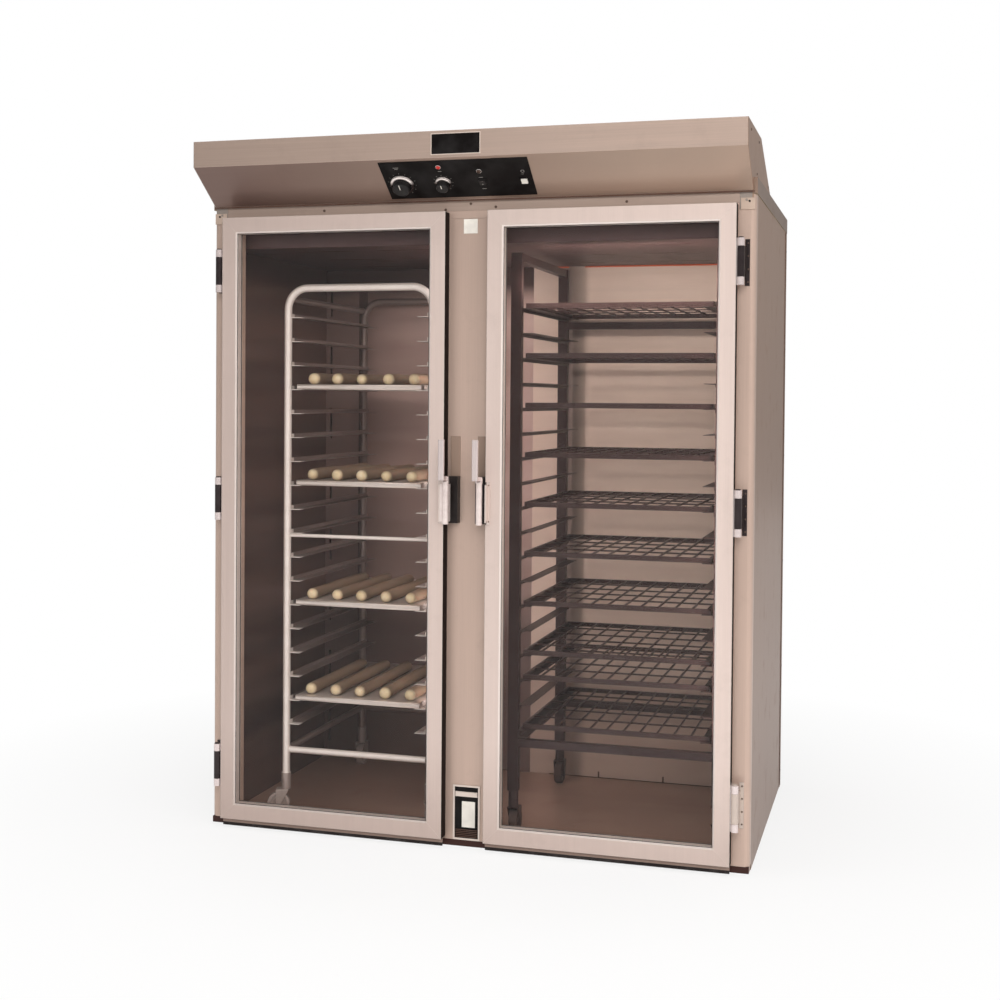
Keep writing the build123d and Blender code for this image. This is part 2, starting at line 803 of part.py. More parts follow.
def build_door(side, name):
    door_middle_x = side * (door_inner_edge + door_outer_edge) / 2
    door_middle_z = (door_top + door_bottom) / 2
    aperture_wide = door_outer_edge - door_inner_edge - 2 * door_frame_width
    aperture_tall = door_top - door_bottom - 2 * door_frame_width

    # Frame: four mitred extrusions with a glazing groove for each pane
    cavity_outer = ring_box(side, door_extrusion_wall, door_front + door_extrusion_wall, door_rear - door_extrusion_wall)
    cavity_inset = door_frame_width - groove_depth - door_extrusion_wall
    cavity_inner = ring_box(side, cavity_inset, door_front, door_rear)
    with BuildPart() as frame:
        add(ring_box(side, 0, door_front, door_rear))
        add(ring_box(side, door_frame_width, door_front - 1, door_rear + 1), mode=Mode.SUBTRACT)
        groove_inset = door_frame_width - groove_depth
        for pane_front in (outer_pane_front, inner_pane_front):
            groove = ring_box(side, groove_inset, pane_front - pane_gap, pane_front + pane_thickness + pane_gap)
            add(groove, mode=Mode.SUBTRACT)
        add(cavity_outer - cavity_inner, mode=Mode.SUBTRACT)
        bead_plane = Plane(origin=(door_middle_x, face + door_front, door_middle_z), x_dir=(1, 0, 0), z_dir=(0, 1, 0))
        with BuildSketch(bead_plane):
            Rectangle(aperture_wide + 2 * door_bead, aperture_tall + 2 * door_bead)
        extrude(amount=door_bead, taper=45, mode=Mode.SUBTRACT)
        half_wide = (door_outer_edge - door_inner_edge - door_frame_width) / 2
        half_tall = (door_top - door_bottom - door_frame_width) / 2
        for right in (-1, 1):
            for up in (-1, 1):
                corner = (door_middle_x + right * half_wide, face, door_middle_z + up * half_tall)
                with Locations(Location(corner, (0, -45 * right * up, 0))):
                    Box(3 * door_frame_width, 3 * door_frame_width, mitre_gap, mode=Mode.SUBTRACT)
    save(frame, f"{name}_door_frame")

    # Two panes of glass in their grooves
    with BuildPart() as panes:
        pane_inset = groove_inset + 1
        for pane_front in (outer_pane_front, inner_pane_front):
            add(ring_box(side, pane_inset, pane_front, pane_front + pane_thickness))
    save(panes, f"{name}_door_panes")

    # Gasket on the back of the frame, and a sweep under the bottom rail
    with BuildPart() as gasket:
        gasket_back = -gasket_gap
        mullion_side = door_inner_edge + 2
        hinge_side = doorway_outer + 3
        top_low = doorway_top + 3
        for start in (mullion_side, hinge_side):
            bar(
                side * start, side * (start + gasket_width), face + door_rear, face + gasket_back,
                door_bottom + 2, top_low - mitre_gap,
            )
        bar(
            side * mullion_side, side * (hinge_side + gasket_width), face + door_rear, face + gasket_back,
            top_low, top_low + gasket_width,
        )
        sweep_front = face + (door_front + door_rear - sweep_thickness) / 2
        bar(
            side * (door_inner_edge + 2), side * (door_outer_edge - 2), sweep_front, sweep_front + sweep_thickness,
            door_bottom - sweep_height, door_bottom,
        )
    save(gasket, f"{name}_door_gasket")

    # Hinge leaves on the outer edge, each with an upper and a lower knuckle
    with BuildPart() as hinges:
        axis_y = face + hinge_axis_depth
        for height in hinge_heights:
            low = height - hinge_length / 2
            high = height + hinge_length / 2
            bar(side * door_outer_edge, side * (door_outer_edge + hinge_leaf), axis_y, axis_y + hinge_leaf_depth, low, high)
            for start in (low, high - hinge_end_knuckle):
                end = start + hinge_end_knuckle
                rod((side * hinge_axis_x, axis_y, start), (side * hinge_axis_x, axis_y, end), hinge_knuckle_radius)
                bar(side * door_outer_edge, side * hinge_axis_x, axis_y, axis_y + hinge_web * 2, start, end)
                rod(
                    (side * hinge_axis_x, axis_y, start), (side * hinge_axis_x, axis_y, end),
                    hinge_pin_radius + running_gap, Mode.SUBTRACT,
                )
    save(hinges, f"{name}_door_hinges")

    # Latch body: plate, nose and barrel, with two ears and a pin for the lever
    barrel_y = face + latch_barrel_depth
    barrel_top = latch_bottom + latch_barrel_length
    pivot_z = barrel_top + latch_hub_radius
    plate_front = face + door_front - latch_plate_thickness
    plate_near = door_inner_edge + 2
    with BuildPart() as latch_body:
        bar(
            side * plate_near, side * (plate_near + latch_plate_width), plate_front, face + door_front,
            latch_bottom, barrel_top,
        )
        bar(
            side * (latch_x - latch_barrel_radius), side * (plate_near + latch_plate_width / 2),
            barrel_y, plate_front + 1, latch_bottom + 8, barrel_top - 8,
        )
        rod((side * latch_x, barrel_y, latch_bottom), (side * latch_x, barrel_y, barrel_top), latch_barrel_radius)
        ear_start = latch_hub_width / 2 + hinge_gap
        for ear_side in (-1, 1):
            ear_x = side * latch_x + ear_side * ear_start
            with BuildSketch(Plane(origin=(ear_x, barrel_y, pivot_z), x_dir=(0, 1, 0), z_dir=(ear_side, 0, 0))):
                Circle(latch_hub_radius - 2)
            extrude(amount=latch_ear)
            bar(
                ear_x, ear_x + ear_side * latch_ear,
                barrel_y - latch_hub_radius + 2, barrel_y + latch_hub_radius - 2,
                barrel_top - 4, pivot_z,
            )
        pin_reach = ear_start + latch_ear
        rod(
            (side * latch_x - pin_reach, barrel_y, pivot_z), (side * latch_x + pin_reach, barrel_y, pivot_z),
            latch_pin_radius,
        )
    save(latch_body, f"{name}_latch_body")

    # Latch lever: hub on the pin, a neck forward and the upright grip
    with BuildPart() as lever:
        hub_x = latch_hub_width / 2
        rod((side * latch_x - hub_x, barrel_y, pivot_z), (side * latch_x + hub_x, barrel_y, pivot_z), latch_hub_radius - 0.5)
        grip_y = face + grip_depth
        neck_top = pivot_z + latch_hub_radius - 0.5
        bar(side * latch_x - hub_x, side * latch_x + hub_x, grip_y, barrel_y, pivot_z - 3, neck_top)
        rod(
            (side * latch_x - hub_x, barrel_y, pivot_z), (side * latch_x + hub_x, barrel_y, pivot_z),
            latch_pin_radius + running_gap, Mode.SUBTRACT,
        )
        with BuildSketch(Plane(origin=(side * latch_x, grip_y, pivot_z - 3))):
            RectangleRounded(grip_width, grip_thickness, grip_thickness / 2 - 1)
        extrude(amount=grip_length + 3)
    save(lever, f"{name}_latch_lever")


build_door(-1, "left")
build_door(1, "right")

# Hinge leaves on the face, each with the middle knuckle and its own pin
with BuildPart() as frame_hinge_leaves:
    for side in (-1, 1):
        axis_x = side * hinge_axis_x
        axis_y = face + hinge_axis_depth
        web_near = hinge_axis_x + hinge_knuckle_radius - hinge_web
        for height in hinge_heights:
            low = height - hinge_length / 2
            high = height + hinge_length / 2
            knuckle_low = low + hinge_end_knuckle + hinge_gap
            knuckle_high = high - hinge_end_knuckle - hinge_gap
            bar(side * web_near, side * (web_near + frame_leaf_width), face - hinge_web, face, low, high)
            bar(side * web_near, side * (web_near + hinge_web), axis_y, face, knuckle_low, knuckle_high)
            rod((axis_x, axis_y, knuckle_low), (axis_x, axis_y, knuckle_high), hinge_knuckle_radius)
            rod((axis_x, axis_y, knuckle_low), (axis_x, axis_y, knuckle_high), hinge_pin_radius + running_gap, Mode.SUBTRACT)
        for height in hinge_heights:
            high = height + hinge_length / 2 + hinge_gap
            rod((axis_x, axis_y, height - hinge_length / 2), (axis_x, axis_y, high), hinge_pin_radius)
            rod((axis_x, axis_y, high), (axis_x, axis_y, high + pin_head_height), pin_head_radius)
save(frame_hinge_leaves, "frame_hinge_leaves")

# Latch strikes on the mullion: a tall plate with a black block at its foot
with BuildPart() as latch_strikes:
    for side in (-1, 1):
        plate_y = face - strike_plate
        bar(
            side * strike_near, side * strike_far, plate_y, face,
            latch_bottom, latch_bottom + strike_height,
        )
        bar(
            side * strike_near, side * strike_far, face - strike_block_depth, plate_y,
            latch_bottom, latch_bottom + strike_block_height,
        )
save(latch_strikes, "latch_strikes")


def caster_fork(stem_x, stem_y, trail, turn):
    """A fork whose wheel trails the stem in the direction of turn, in degrees."""
    along = (cos(radians(turn)), sin(radians(turn)), 0)
    crown = Plane(origin=(stem_x, stem_y, fork_top - fork_sheet), x_dir=along, z_dir=(0, 0, 1))
    inside = wheel_width / 2 + fork_side_gap
    drop = fork_top - fork_sheet - wheel_z
    reach = inside + fork_sheet
    with BuildPart() as fork:
        with BuildSketch(crown):
            with Locations((trail / 2, 0)):
                Rectangle(fork_plate, 2 * reach)
        extrude(amount=fork_sheet)
        for cheek in (-1, 1):
            cheek_origin = crown.from_local_coords((0, cheek * inside, 0))
            with BuildSketch(Plane(origin=cheek_origin, x_dir=along, z_dir=crown.y_dir)):
                with BuildLine():
                    Polyline(
                        (trail / 2 - fork_plate / 2, 0),
                        (trail / 2 + fork_plate / 2, 0),
                        (trail + fork_eye, drop),
                        (trail - fork_eye, drop),
                        close=True,
                    )
                make_face()
                with Locations((trail, drop)):
                    Circle(fork_eye)
            extrude(amount=cheek * fork_sheet)
        axle_start = crown.from_local_coords((trail, -reach, -drop))
        axle_end = crown.from_local_coords((trail, reach, -drop))
        rod(axle_start, axle_end, caster_axle_radius)
    return fork.part


def build_swivel_fork(stem_x, stem_y, turn, name):
    fork_body = caster_fork(stem_x, stem_y, caster_trail, turn)
    with BuildPart() as fork:
        add(fork_body)
        rod((stem_x, stem_y, fork_top), (stem_x, stem_y, fork_top + socket_height), stem_radius)
    save(fork, name)


def build_wheel(stem_x, stem_y, trail, turn, name):
    along = Vector(cos(radians(turn)), sin(radians(turn)), 0)
    across = Vector(-sin(radians(turn)), cos(radians(turn)), 0)
    center = Vector(stem_x, stem_y, wheel_z) + along * trail
    axle = Plane(origin=center, x_dir=tuple(along), z_dir=tuple(across))
    with BuildPart() as wheel:
        with BuildSketch(axle.offset(-wheel_width / 2)):
            Circle(wheel_radius)
        extrude(amount=wheel_width)
        fillet(wheel.edges().filter_by(GeomType.CIRCLE), wheel_width / 6)
        for face_side in (-1, 1):
            with BuildSketch(axle.offset(face_side * wheel_width / 2)):
                Circle(wheel_radius * 0.72)
                Circle(wheel_hub_radius, mode=Mode.SUBTRACT)
            extrude(amount=-face_side * wheel_width / 5, mode=Mode.SUBTRACT)
        with BuildSketch(axle.offset(-wheel_width / 2)):
            Circle(caster_axle_radius + running_gap)
        extrude(amount=wheel_width, mode=Mode.SUBTRACT)
    save(wheel, name)


def add_socket(stem_x, stem_y):
    """The socket that a swivel stem turns in, at the foot of an upright."""
    foot = (stem_x, stem_y, fork_top + plate_gap)
    top = (stem_x, stem_y, post_foot)
    rod(foot, top, socket_radius)
    rod(foot, top, stem_radius + stem_gap, mode=Mode.SUBTRACT)


wheel_z = floor_thickness + wheel_gap + wheel_radius
post_foot = fork_top + plate_gap + socket_height

# Left rack: two hoops of round tube, joined by rails, with pan runners on both sides
left_posts_x = (left_rack_left + rack_tube_radius, left_rack_right - rack_tube_radius)
left_front_y = face + left_rack_front + rack_tube_radius
left_back_y = face + left_rack_front + left_rack_depth - rack_tube_radius
left_hoop_z = left_rack_top - rack_tube_radius
left_joint_z = left_hoop_z - rack_corner_radius
left_rigid_forks = [caster_fork(post_x, left_back_y, 0, 90) for post_x in left_posts_x]
with BuildPart() as left_rack_frame:
    for hoop_y in (left_front_y, left_back_y):
        for post_x in left_posts_x:
            pipe(
                (post_x, hoop_y, post_foot + weld_gap), (post_x, hoop_y, left_joint_z - weld_gap),
                rack_tube_radius, rack_tube_wall,
            )
        with BuildLine(Plane.XZ.offset(-hoop_y)) as hoop_path:
            FilletPolyline(
                (left_posts_x[0], left_joint_z),
                (left_posts_x[0], left_hoop_z),
                (left_posts_x[1], left_hoop_z),
                (left_posts_x[1], left_joint_z),
                radius=rack_corner_radius - weld_gap,
            )
        with BuildSketch(hoop_path.line ^ 0):
            Circle(rack_tube_radius)
            Circle(rack_tube_radius - rack_tube_wall, mode=Mode.SUBTRACT)
        sweep(path=hoop_path.line)
        cross_start = left_posts_x[0] + rack_tube_radius + weld_gap
        cross_end = left_posts_x[1] - rack_tube_radius - weld_gap
        rail_radius = rack_tube_radius - 2
        rod((cross_start, hoop_y, rail_height), (cross_end, hoop_y, rail_height), rail_radius)
    brace_ledge = left_first_level + left_level_pitch * brace_level
    brace_z = brace_ledge - ledge_thickness - weld_gap - brace_radius
    rod((cross_start, left_front_y, brace_z), (cross_end, left_front_y, brace_z), brace_radius)
    side_start = left_front_y + rack_tube_radius + weld_gap
    side_end = left_back_y - rack_tube_radius - weld_gap
    for post_x in left_posts_x:
        for rail_z in (rail_height, left_hoop_z - rack_corner_radius / 2):
            rod((post_x, side_start, rail_z), (post_x, side_end, rail_z), rail_radius)
    runner_front = left_front_y - rack_tube_radius + 2
    runner_back = left_back_y + rack_tube_radius - 2
    for side, post_x in zip((-1, 1), left_posts_x):
        outer_x = post_x - side * (rack_tube_radius + weld_gap)
        inner_x = outer_x - side * ledge_width
        lip_x = outer_x - side * ledge_thickness
        for index in range(left_level_count):
            level = left_first_level + left_level_pitch * index
            bar(inner_x, outer_x, runner_front, runner_back, level - ledge_thickness, level)
            bar(lip_x, outer_x, runner_front, runner_back, level, level + ledge_lip)
    for post_x in left_posts_x:
        add_socket(post_x, left_front_y)
        rod((post_x, left_back_y, fork_top), (post_x, left_back_y, post_foot), socket_radius)
    add(left_rigid_forks)
save(left_rack_frame, "left_rack_frame")

# Trays of the left rack, flat on top with their edges turned down
left_middle_x = (left_rack_left + left_rack_right) / 2
tray_front = face + left_rack_front + tray_setback
with BuildPart() as left_rack_trays:
    for index in left_loaded_levels:
        level = left_first_level + left_level_pitch * index
        top = level + tray_height
        tray_left = left_middle_x - tray_width / 2
        tray_right = left_middle_x + tray_width / 2
        tray_back = tray_front + tray_depth
        bar(tray_left, tray_right, tray_front, tray_back, level, top)
        bar(
            tray_left + tray_sheet, tray_right - tray_sheet, tray_front + tray_sheet, tray_back - tray_sheet,
            level, top - tray_sheet, mode=Mode.SUBTRACT,
        )
save(left_rack_trays, "left_rack_trays")

# Dough sticks on the trays, each with round ends and a flat underside
with BuildPart() as dough_sticks:
    for index in left_loaded_levels:
        bed = left_first_level + left_level_pitch * index + tray_height
        dough_z = bed + dough_radius - dough_flat
        dough_front = tray_front + dough_setback + dough_radius
        dough_back = dough_front + dough_length - 2 * dough_radius
        for place in range(dough_count):
            dough_x = left_middle_x + dough_pitch * (place - (dough_count - 1) / 2)
            rod((dough_x, dough_front, dough_z), (dough_x, dough_back, dough_z), dough_radius)
            with Locations((dough_x, dough_front, dough_z), (dough_x, dough_back, dough_z)):
                Sphere(dough_radius)
            bar(
                dough_x - dough_radius, dough_x + dough_radius,
                dough_front - dough_radius, dough_back + dough_radius,
                dough_z - dough_radius, bed, mode=Mode.SUBTRACT,
            )
save(dough_sticks, "dough_sticks")

# Right rack: four channel uprights, side rails, a base and runners
right_posts_x = (right_rack_left + upright_width / 2, right_rack_right - upright_width / 2)
right_front_y = face + right_rack_front + upright_depth / 2
right_back_y = face + right_rack_front + right_rack_depth - upright_depth / 2
right_rigid_forks = [caster_fork(post_x, right_back_y, 0, 90) for post_x in right_posts_x]
with BuildPart() as right_rack_frame:
    for post_x in right_posts_x:
        for post_y in (right_front_y, right_back_y):
            tube_box(
                post_x - upright_width / 2, post_x + upright_width / 2,
                post_y - upright_depth / 2, post_y + upright_depth / 2,
                post_foot + weld_gap, right_rack_top, tube_wall, "Z",
            )
        rail_front = right_front_y + upright_depth / 2 + weld_gap
        rail_back = right_back_y - upright_depth / 2 - weld_gap
        for rail_z in (right_rail_height, right_rack_top - rack_rail / 2):
            tube_box(
                post_x - rack_rail / 2, post_x + rack_rail / 2, rail_front, rail_back,
                rail_z - rack_rail / 2, rail_z + rack_rail / 2, tube_wall, "Y",
            )
    base_start = right_rack_left + upright_width + weld_gap
    base_end = right_rack_right - upright_width - weld_gap
    for post_y in (right_front_y, right_back_y):
        tube_box(
            base_start, base_end, post_y - rack_rail / 2, post_y + rack_rail / 2,
            right_rail_height - rack_rail / 2, right_rail_height + rack_rail / 2, tube_wall, "X",
        )
    last_ledge = right_first_level + right_level_pitch * (right_level_count - 1)
    top_bar = last_ledge - ledge_lip - weld_gap
    tube_box(
        base_start, base_end, right_back_y - rack_rail / 2, right_back_y + rack_rail / 2,
        top_bar - rack_rail, top_bar, tube_wall, "X",
    )
    runner_front = right_front_y - upright_depth / 2 + 2
    runner_back = right_back_y + upright_depth / 2 - 2
    for side, post_x in zip((-1, 1), right_posts_x):
        outer_x = post_x - side * (upright_width / 2 + weld_gap)
        inner_x = outer_x - side * ledge_width
        lip_x = outer_x - side * ledge_thickness
        for index in range(right_level_count):
            level = right_first_level + right_level_pitch * index
            bar(inner_x, outer_x, runner_front, runner_back, level - ledge_thickness, level)
            bar(lip_x, outer_x, runner_front, runner_back, level - ledge_lip, level)
    for post_x in right_posts_x:
        add_socket(post_x, right_front_y)
        rod((post_x, right_back_y, fork_top), (post_x, right_back_y, post_foot), socket_radius)
    add(right_rigid_forks)
save(right_rack_frame, "right_rack_frame")

# Wire shelves of the right rack, each a grid on a bent band
shelf_left = right_rack_left + upright_width + shelf_side_gap
shelf_right = right_rack_right - upright_width - shelf_side_gap
shelf_front = face + right_rack_front + (right_rack_depth - shelf_depth) / 2
shelf_middle = ((shelf_left + shelf_right) / 2, shelf_front + shelf_depth / 2)
shelf_width = shelf_right - shelf_left
window_width = (shelf_width - 2 * shelf_rim + shelf_wire) / shelf_columns - shelf_wire
window_depth = (shelf_depth - 2 * shelf_rim + shelf_wire) / shelf_rows - shelf_wire
shelf_bases = [right_first_level + right_level_pitch * index for index in right_loaded_levels]
with BuildPart() as right_rack_shelves:
    with BuildSketch(*[Plane.XY.offset(base) for base in shelf_bases]):
        with Locations(shelf_middle):
            Rectangle(shelf_width, shelf_depth)
    extrude(amount=shelf_height)
    with BuildSketch(*[Plane.XY.offset(base) for base in shelf_bases]):
        with Locations(shelf_middle):
            Rectangle(shelf_width - 2 * shelf_band, shelf_depth - 2 * shelf_band)
    extrude(amount=shelf_height - shelf_thickness, mode=Mode.SUBTRACT)
    with BuildSketch(*[Plane.XY.offset(base) for base in shelf_bases]):
        with Locations(shelf_middle):
            with GridLocations(window_width + shelf_wire, window_depth + shelf_wire, shelf_columns, shelf_rows):
                Rectangle(window_width, window_depth)
    extrude(amount=shelf_height, mode=Mode.SUBTRACT)
save(right_rack_shelves, "right_rack_shelves")

# Casters: the front ones swivel, the rear ones are fixed under the uprights
for rack, posts_x, front_y, back_y, turns in (
    ("left_rack", left_posts_x, left_front_y, left_back_y, left_swivel_turns),
    ("right_rack", right_posts_x, right_front_y, right_back_y, right_swivel_turns),
):
    for place, post_x, turn in zip(("left", "right"), posts_x, turns):
        build_swivel_fork(post_x, front_y, turn, f"{rack}_fork_front_{place}")
        build_wheel(post_x, front_y, caster_trail, turn, f"{rack}_wheel_front_{place}")
        build_wheel(post_x, back_y, 0, 90, f"{rack}_wheel_rear_{place}")
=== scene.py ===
import math
import random

import bmesh
import bpy
from mathutils import Matrix, Vector


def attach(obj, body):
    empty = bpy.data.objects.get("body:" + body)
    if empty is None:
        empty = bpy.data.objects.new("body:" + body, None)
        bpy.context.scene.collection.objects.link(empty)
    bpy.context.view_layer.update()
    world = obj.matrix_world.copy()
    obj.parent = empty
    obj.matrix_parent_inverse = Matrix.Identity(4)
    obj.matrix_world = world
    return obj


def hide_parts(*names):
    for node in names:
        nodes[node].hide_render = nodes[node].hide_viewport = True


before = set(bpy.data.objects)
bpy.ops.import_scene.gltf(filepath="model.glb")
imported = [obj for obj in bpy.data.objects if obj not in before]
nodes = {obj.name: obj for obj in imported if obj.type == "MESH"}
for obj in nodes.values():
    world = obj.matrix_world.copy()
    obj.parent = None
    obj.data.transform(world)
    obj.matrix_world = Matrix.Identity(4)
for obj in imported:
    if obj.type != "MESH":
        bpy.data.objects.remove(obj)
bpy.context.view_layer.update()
rng = random.Random(7)

# Sizes in metres that pieces of the scene share with the cabinet
FACE = -0.530
REAR = -FACE
HOOD_FRONT = FACE - 0.165
HOOD_TOP = 2.249
FOLD_Z = 2.167
SLOPE_FOOT = (FACE - 0.012, 2.059)
SLOPE_ANGLE = math.atan2(FOLD_Z - SLOPE_FOOT[1], SLOPE_FOOT[0] - HOOD_FRONT)
CONTROL_ROW = 0.107
# Each knob's name, place along the hood, radius and number of dial ticks
KNOBS = (("temperature_knob", -0.202, 0.038, 13), ("humidity_knob", -0.066, 0.026, 11))
SIDES = ((-1, "left"), (1, "right"))
HALF_WIDTH, HOOD_HALF = 0.897, 0.886
GLASS_X, GLASS_Z = (0.122, 0.788), (0.084, 1.965)
HINGE_HEIGHTS = (0.208, 1.093, 1.844)
DUCT_FACE = FACE + 0.8676
FLOOR_TOP = 0.0202
LOWEST_RUNNER, RUNNER_PITCH = 0.329, 0.0805
TRAY_LEVELS = (1, 5, 10, 14)
TRAY_FRONT = FACE + 0.092
TRAY_MID, TRAY_HALF, TRAY_TOP = -0.4145, 0.220, 0.017
WHEEL_Z = 0.0578

# Where the painted bands of the materials begin and end; all but the sweep's band are painted shade or a
# painted highlight
LEFT_BAY = -0.02
BEAD_X, BEAD_Z = (0.1168, 0.7932), (0.0788, 1.9702)
DOOR_EDGES = (0.0694, 0.8406)
REAR_POST_SHADOW = (-0.722, -0.686)
LATCH_BAND = (0.0652, 0.0735)
HOLDER_BAND = (0.0155, 0.0312)

bpy.context.scene.view_settings.view_transform = "Standard"


def linear(red, green, blue):
    """A colour given as 0 to 255 screen values, as scene linear values."""
    out = []
    for value in (red, green, blue):
        v = value / 255
        out.append(v / 12.92 if v <= 0.04045 else ((v + 0.055) / 1.055) ** 2.4)
    return (*out, 1.0)


# Materials


class Shader:
    """One material with a few short calls for its nodes."""

    def __init__(self, name, **sockets):
        self.mat = bpy.data.materials.new(name)
        self.mat.use_nodes = True
        self.tree = self.mat.node_tree
        self.bsdf = self.tree.nodes["Principled BSDF"]
        self.out = self.tree.nodes["Material Output"]
        self.coord = self.node("ShaderNodeTexCoord").outputs["Object"]
        self.edge = None
        for key, value in sockets.items():
            self.bsdf.inputs[key.replace("_", " ")].default_value = value

    def node(self, kind, **values):
        made = self.tree.nodes.new(kind)
        for key, value in values.items():
            setattr(made, key, value)
        return made

    def link(self, start, end):
        self.tree.links.new(start, end)

    def scaled(self, scale, rotation=(0, 0, 0)):
        made = self.node("ShaderNodeMapping")
        made.inputs["Scale"].default_value = scale
        made.inputs["Rotation"].default_value = rotation
        self.link(self.coord, made.inputs["Vector"])
        return made.outputs["Vector"]

    def noise(self, vector, scale, detail, rough=0.55):
        made = self.node("ShaderNodeTexNoise")
        made.inputs["Scale"].default_value = scale
        made.inputs["Detail"].default_value = detail
        made.inputs["Roughness"].default_value = rough
        self.link(vector, made.inputs["Vector"])
        return made.outputs["Fac"]

    def math(self, operation, a, b=0.0):
        made = self.node("ShaderNodeMath", operation=operation)
        for index, value in enumerate((a, b)):
            if isinstance(value, (int, float)):
                made.inputs[index].default_value = value
            else:
                self.link(value, made.inputs[index])
        return made.outputs[0]

    def remap(self, value, low, high, new_low=0.0, new_high=1.0):
        made = self.node("ShaderNodeMapRange")
        self.link(value, made.inputs["Value"])
        ends = (("From Min", low), ("From Max", high), ("To Min", new_low), ("To Max", new_high))
        for key, number in ends:
            made.inputs[key].default_value = number
        return made.outputs["Result"]

    def mix(self, factor, a, b):
        made = self.node("ShaderNodeMix", data_type="RGBA")
        for index, value in ((0, factor), (6, a), (7, b)):
            if isinstance(value, (int, float, tuple)):
                made.inputs[index].default_value = value
            else:
                self.link(value, made.inputs[index])
        return made.outputs[2]

    def axis(self, which):
        made = self.node("ShaderNodeSeparateXYZ")
        self.link(self.coord, made.inputs[0])
        return made.outputs[which]

    def soft(self, radius):
        """The bevelled normal, made once for each material. Its first call sets the radius."""
        if not self.edge:
            made = self.node("ShaderNodeBevel", samples=3)
            made.inputs["Radius"].default_value = radius
            self.edge = made.outputs["Normal"]
        return self.edge

    def band(self, value, low, high):
        """1 where the value lies between low and high, else 0."""
        above = self.math("GREATER_THAN", value, low)
        return self.math("MULTIPLY", above, self.math("LESS_THAN", value, high))

    def bump(self, height, strength, distance, soft_edge=0.0):
        made = self.node("ShaderNodeBump")
        made.inputs["Strength"].default_value = strength
        made.inputs["Distance"].default_value = distance
        self.link(height, made.inputs["Height"])
        if soft_edge:
            self.link(self.soft(soft_edge), made.inputs["Normal"])
        self.link(made.outputs["Normal"], self.bsdf.inputs["Normal"])

    def edge_mask(self, radius):
        """Near 1 along the edges of a solid, 0 on its flats."""
        flat = self.node("ShaderNodeNewGeometry").outputs["True Normal"]
        dot = self.node("ShaderNodeVectorMath", operation="DOT_PRODUCT")
        self.link(self.soft(radius), dot.inputs[0])
        self.link(flat, dot.inputs[1])
        return self.remap(dot.outputs["Value"], 0.995, 0.85)

    def color(self, value):
        self.link(value, self.bsdf.inputs["Base Color"])

    def rough(self, value):
        self.link(value, self.bsdf.inputs["Roughness"])


# Noise scales of fine scratches and of broad streaks, by the axis along which they run
GRAIN = {"x": (3, 500, 500), "y": (500, 3, 500), "z": (500, 500, 3)}
STREAK = {"x": (0.5, 26, 26), "y": (26, 0.5, 26), "z": (26, 26, 0.5)}
WORN_EDGE, PAINT_EDGE = 0.0022, 0.0016


def toned(color, factor, lift=0.0):
    """The colour times a factor, plus a lift, kept at 1 or less."""
    return tuple(min(1.0, c * factor + lift) for c in color[:3]) + (1.0,)


def brushed(name, color, along, low=0.30, high=0.46, metal=0.75, spread=0.10, worn=0.0, bump=0.05, tint=None):
    """Brushed or rolled sheet: long fine scratches, soft clouds, smudges and brighter edges."""
    s = Shader(name, Metallic=metal)
    fine = s.noise(s.scaled(GRAIN[along]), 1.0, 2.0, 0.6)
    broad = s.noise(s.scaled(STREAK[along]), 1.0, 2.0)
    cloud = s.noise(s.coord, 2.3, 2.0)
    wide = s.math("ADD", s.math("MULTIPLY", broad, 0.35), s.math("MULTIPLY", cloud, 0.25))
    tone = s.math("ADD", s.math("MULTIPLY", fine, 0.40), wide)
    surface = s.mix(s.remap(tone, 0.34, 0.66), toned(color, 1 - spread * 2), toned(color, 1 + spread))
    smudge = s.remap(s.noise(s.coord, 9.0, 4.0, 0.7), 0.56, 0.74)
    surface = s.mix(s.math("MULTIPLY", smudge, 0.22), surface, toned(color, 0.72))
    if tint:
        surface = tint(s, surface)
    if worn:
        rubbed = s.math("MULTIPLY", s.edge_mask(WORN_EDGE), worn)
        surface = s.mix(rubbed, surface, toned(color, 1.5, 0.05))
    s.color(surface)
    dull = s.math("ADD", s.math("MULTIPLY", fine, 0.6), s.math("MULTIPLY", smudge, 0.4))
    s.rough(s.remap(dull, 0.2, 0.8, low, high))
    relief = s.math("ADD", fine, s.math("MULTIPLY", broad, 0.6))
    s.bump(relief, bump, 0.0006, WORN_EDGE if worn else 0.0)
    return s.mat


def plastic(name, color, rough=0.35, grain=900.0, bump=0.05, coat=0.0, shine=0.5):
    """Moulded plastic with a fine spark texture and a little dust."""
    s = Shader(name, Coat_Weight=coat, Specular_IOR_Level=shine)
    spark = s.noise(s.coord, grain, 3.0)
    cloud = s.noise(s.coord, 14.0, 4.0)
    s.color(s.mix(s.remap(cloud, 0.4, 0.72), color, toned(color, 1.25, 0.012)))
    s.rough(s.remap(s.math("ADD", spark, cloud), 0.7, 1.3, rough - 0.06, rough + 0.12))
    s.bump(spark, bump, 0.0002)
    return s.mat


def rubber(name, color, tint=None):
    """Dull rubber or board with a speckled surface and pale dust."""
    s = Shader(name)
    speck = s.noise(s.coord, 420.0, 3.0)
    dust = s.noise(s.coord, 22.0, 5.0, 0.7)
    base = s.mix(s.remap(dust, 0.48, 0.75), color, toned(color, 1.0, 0.035))
    s.color(tint(s, base) if tint else base)
    s.rough(s.remap(speck, 0.3, 0.7, 0.62, 0.82))
    s.bump(speck, 0.12, 0.0004)
    return s.mat


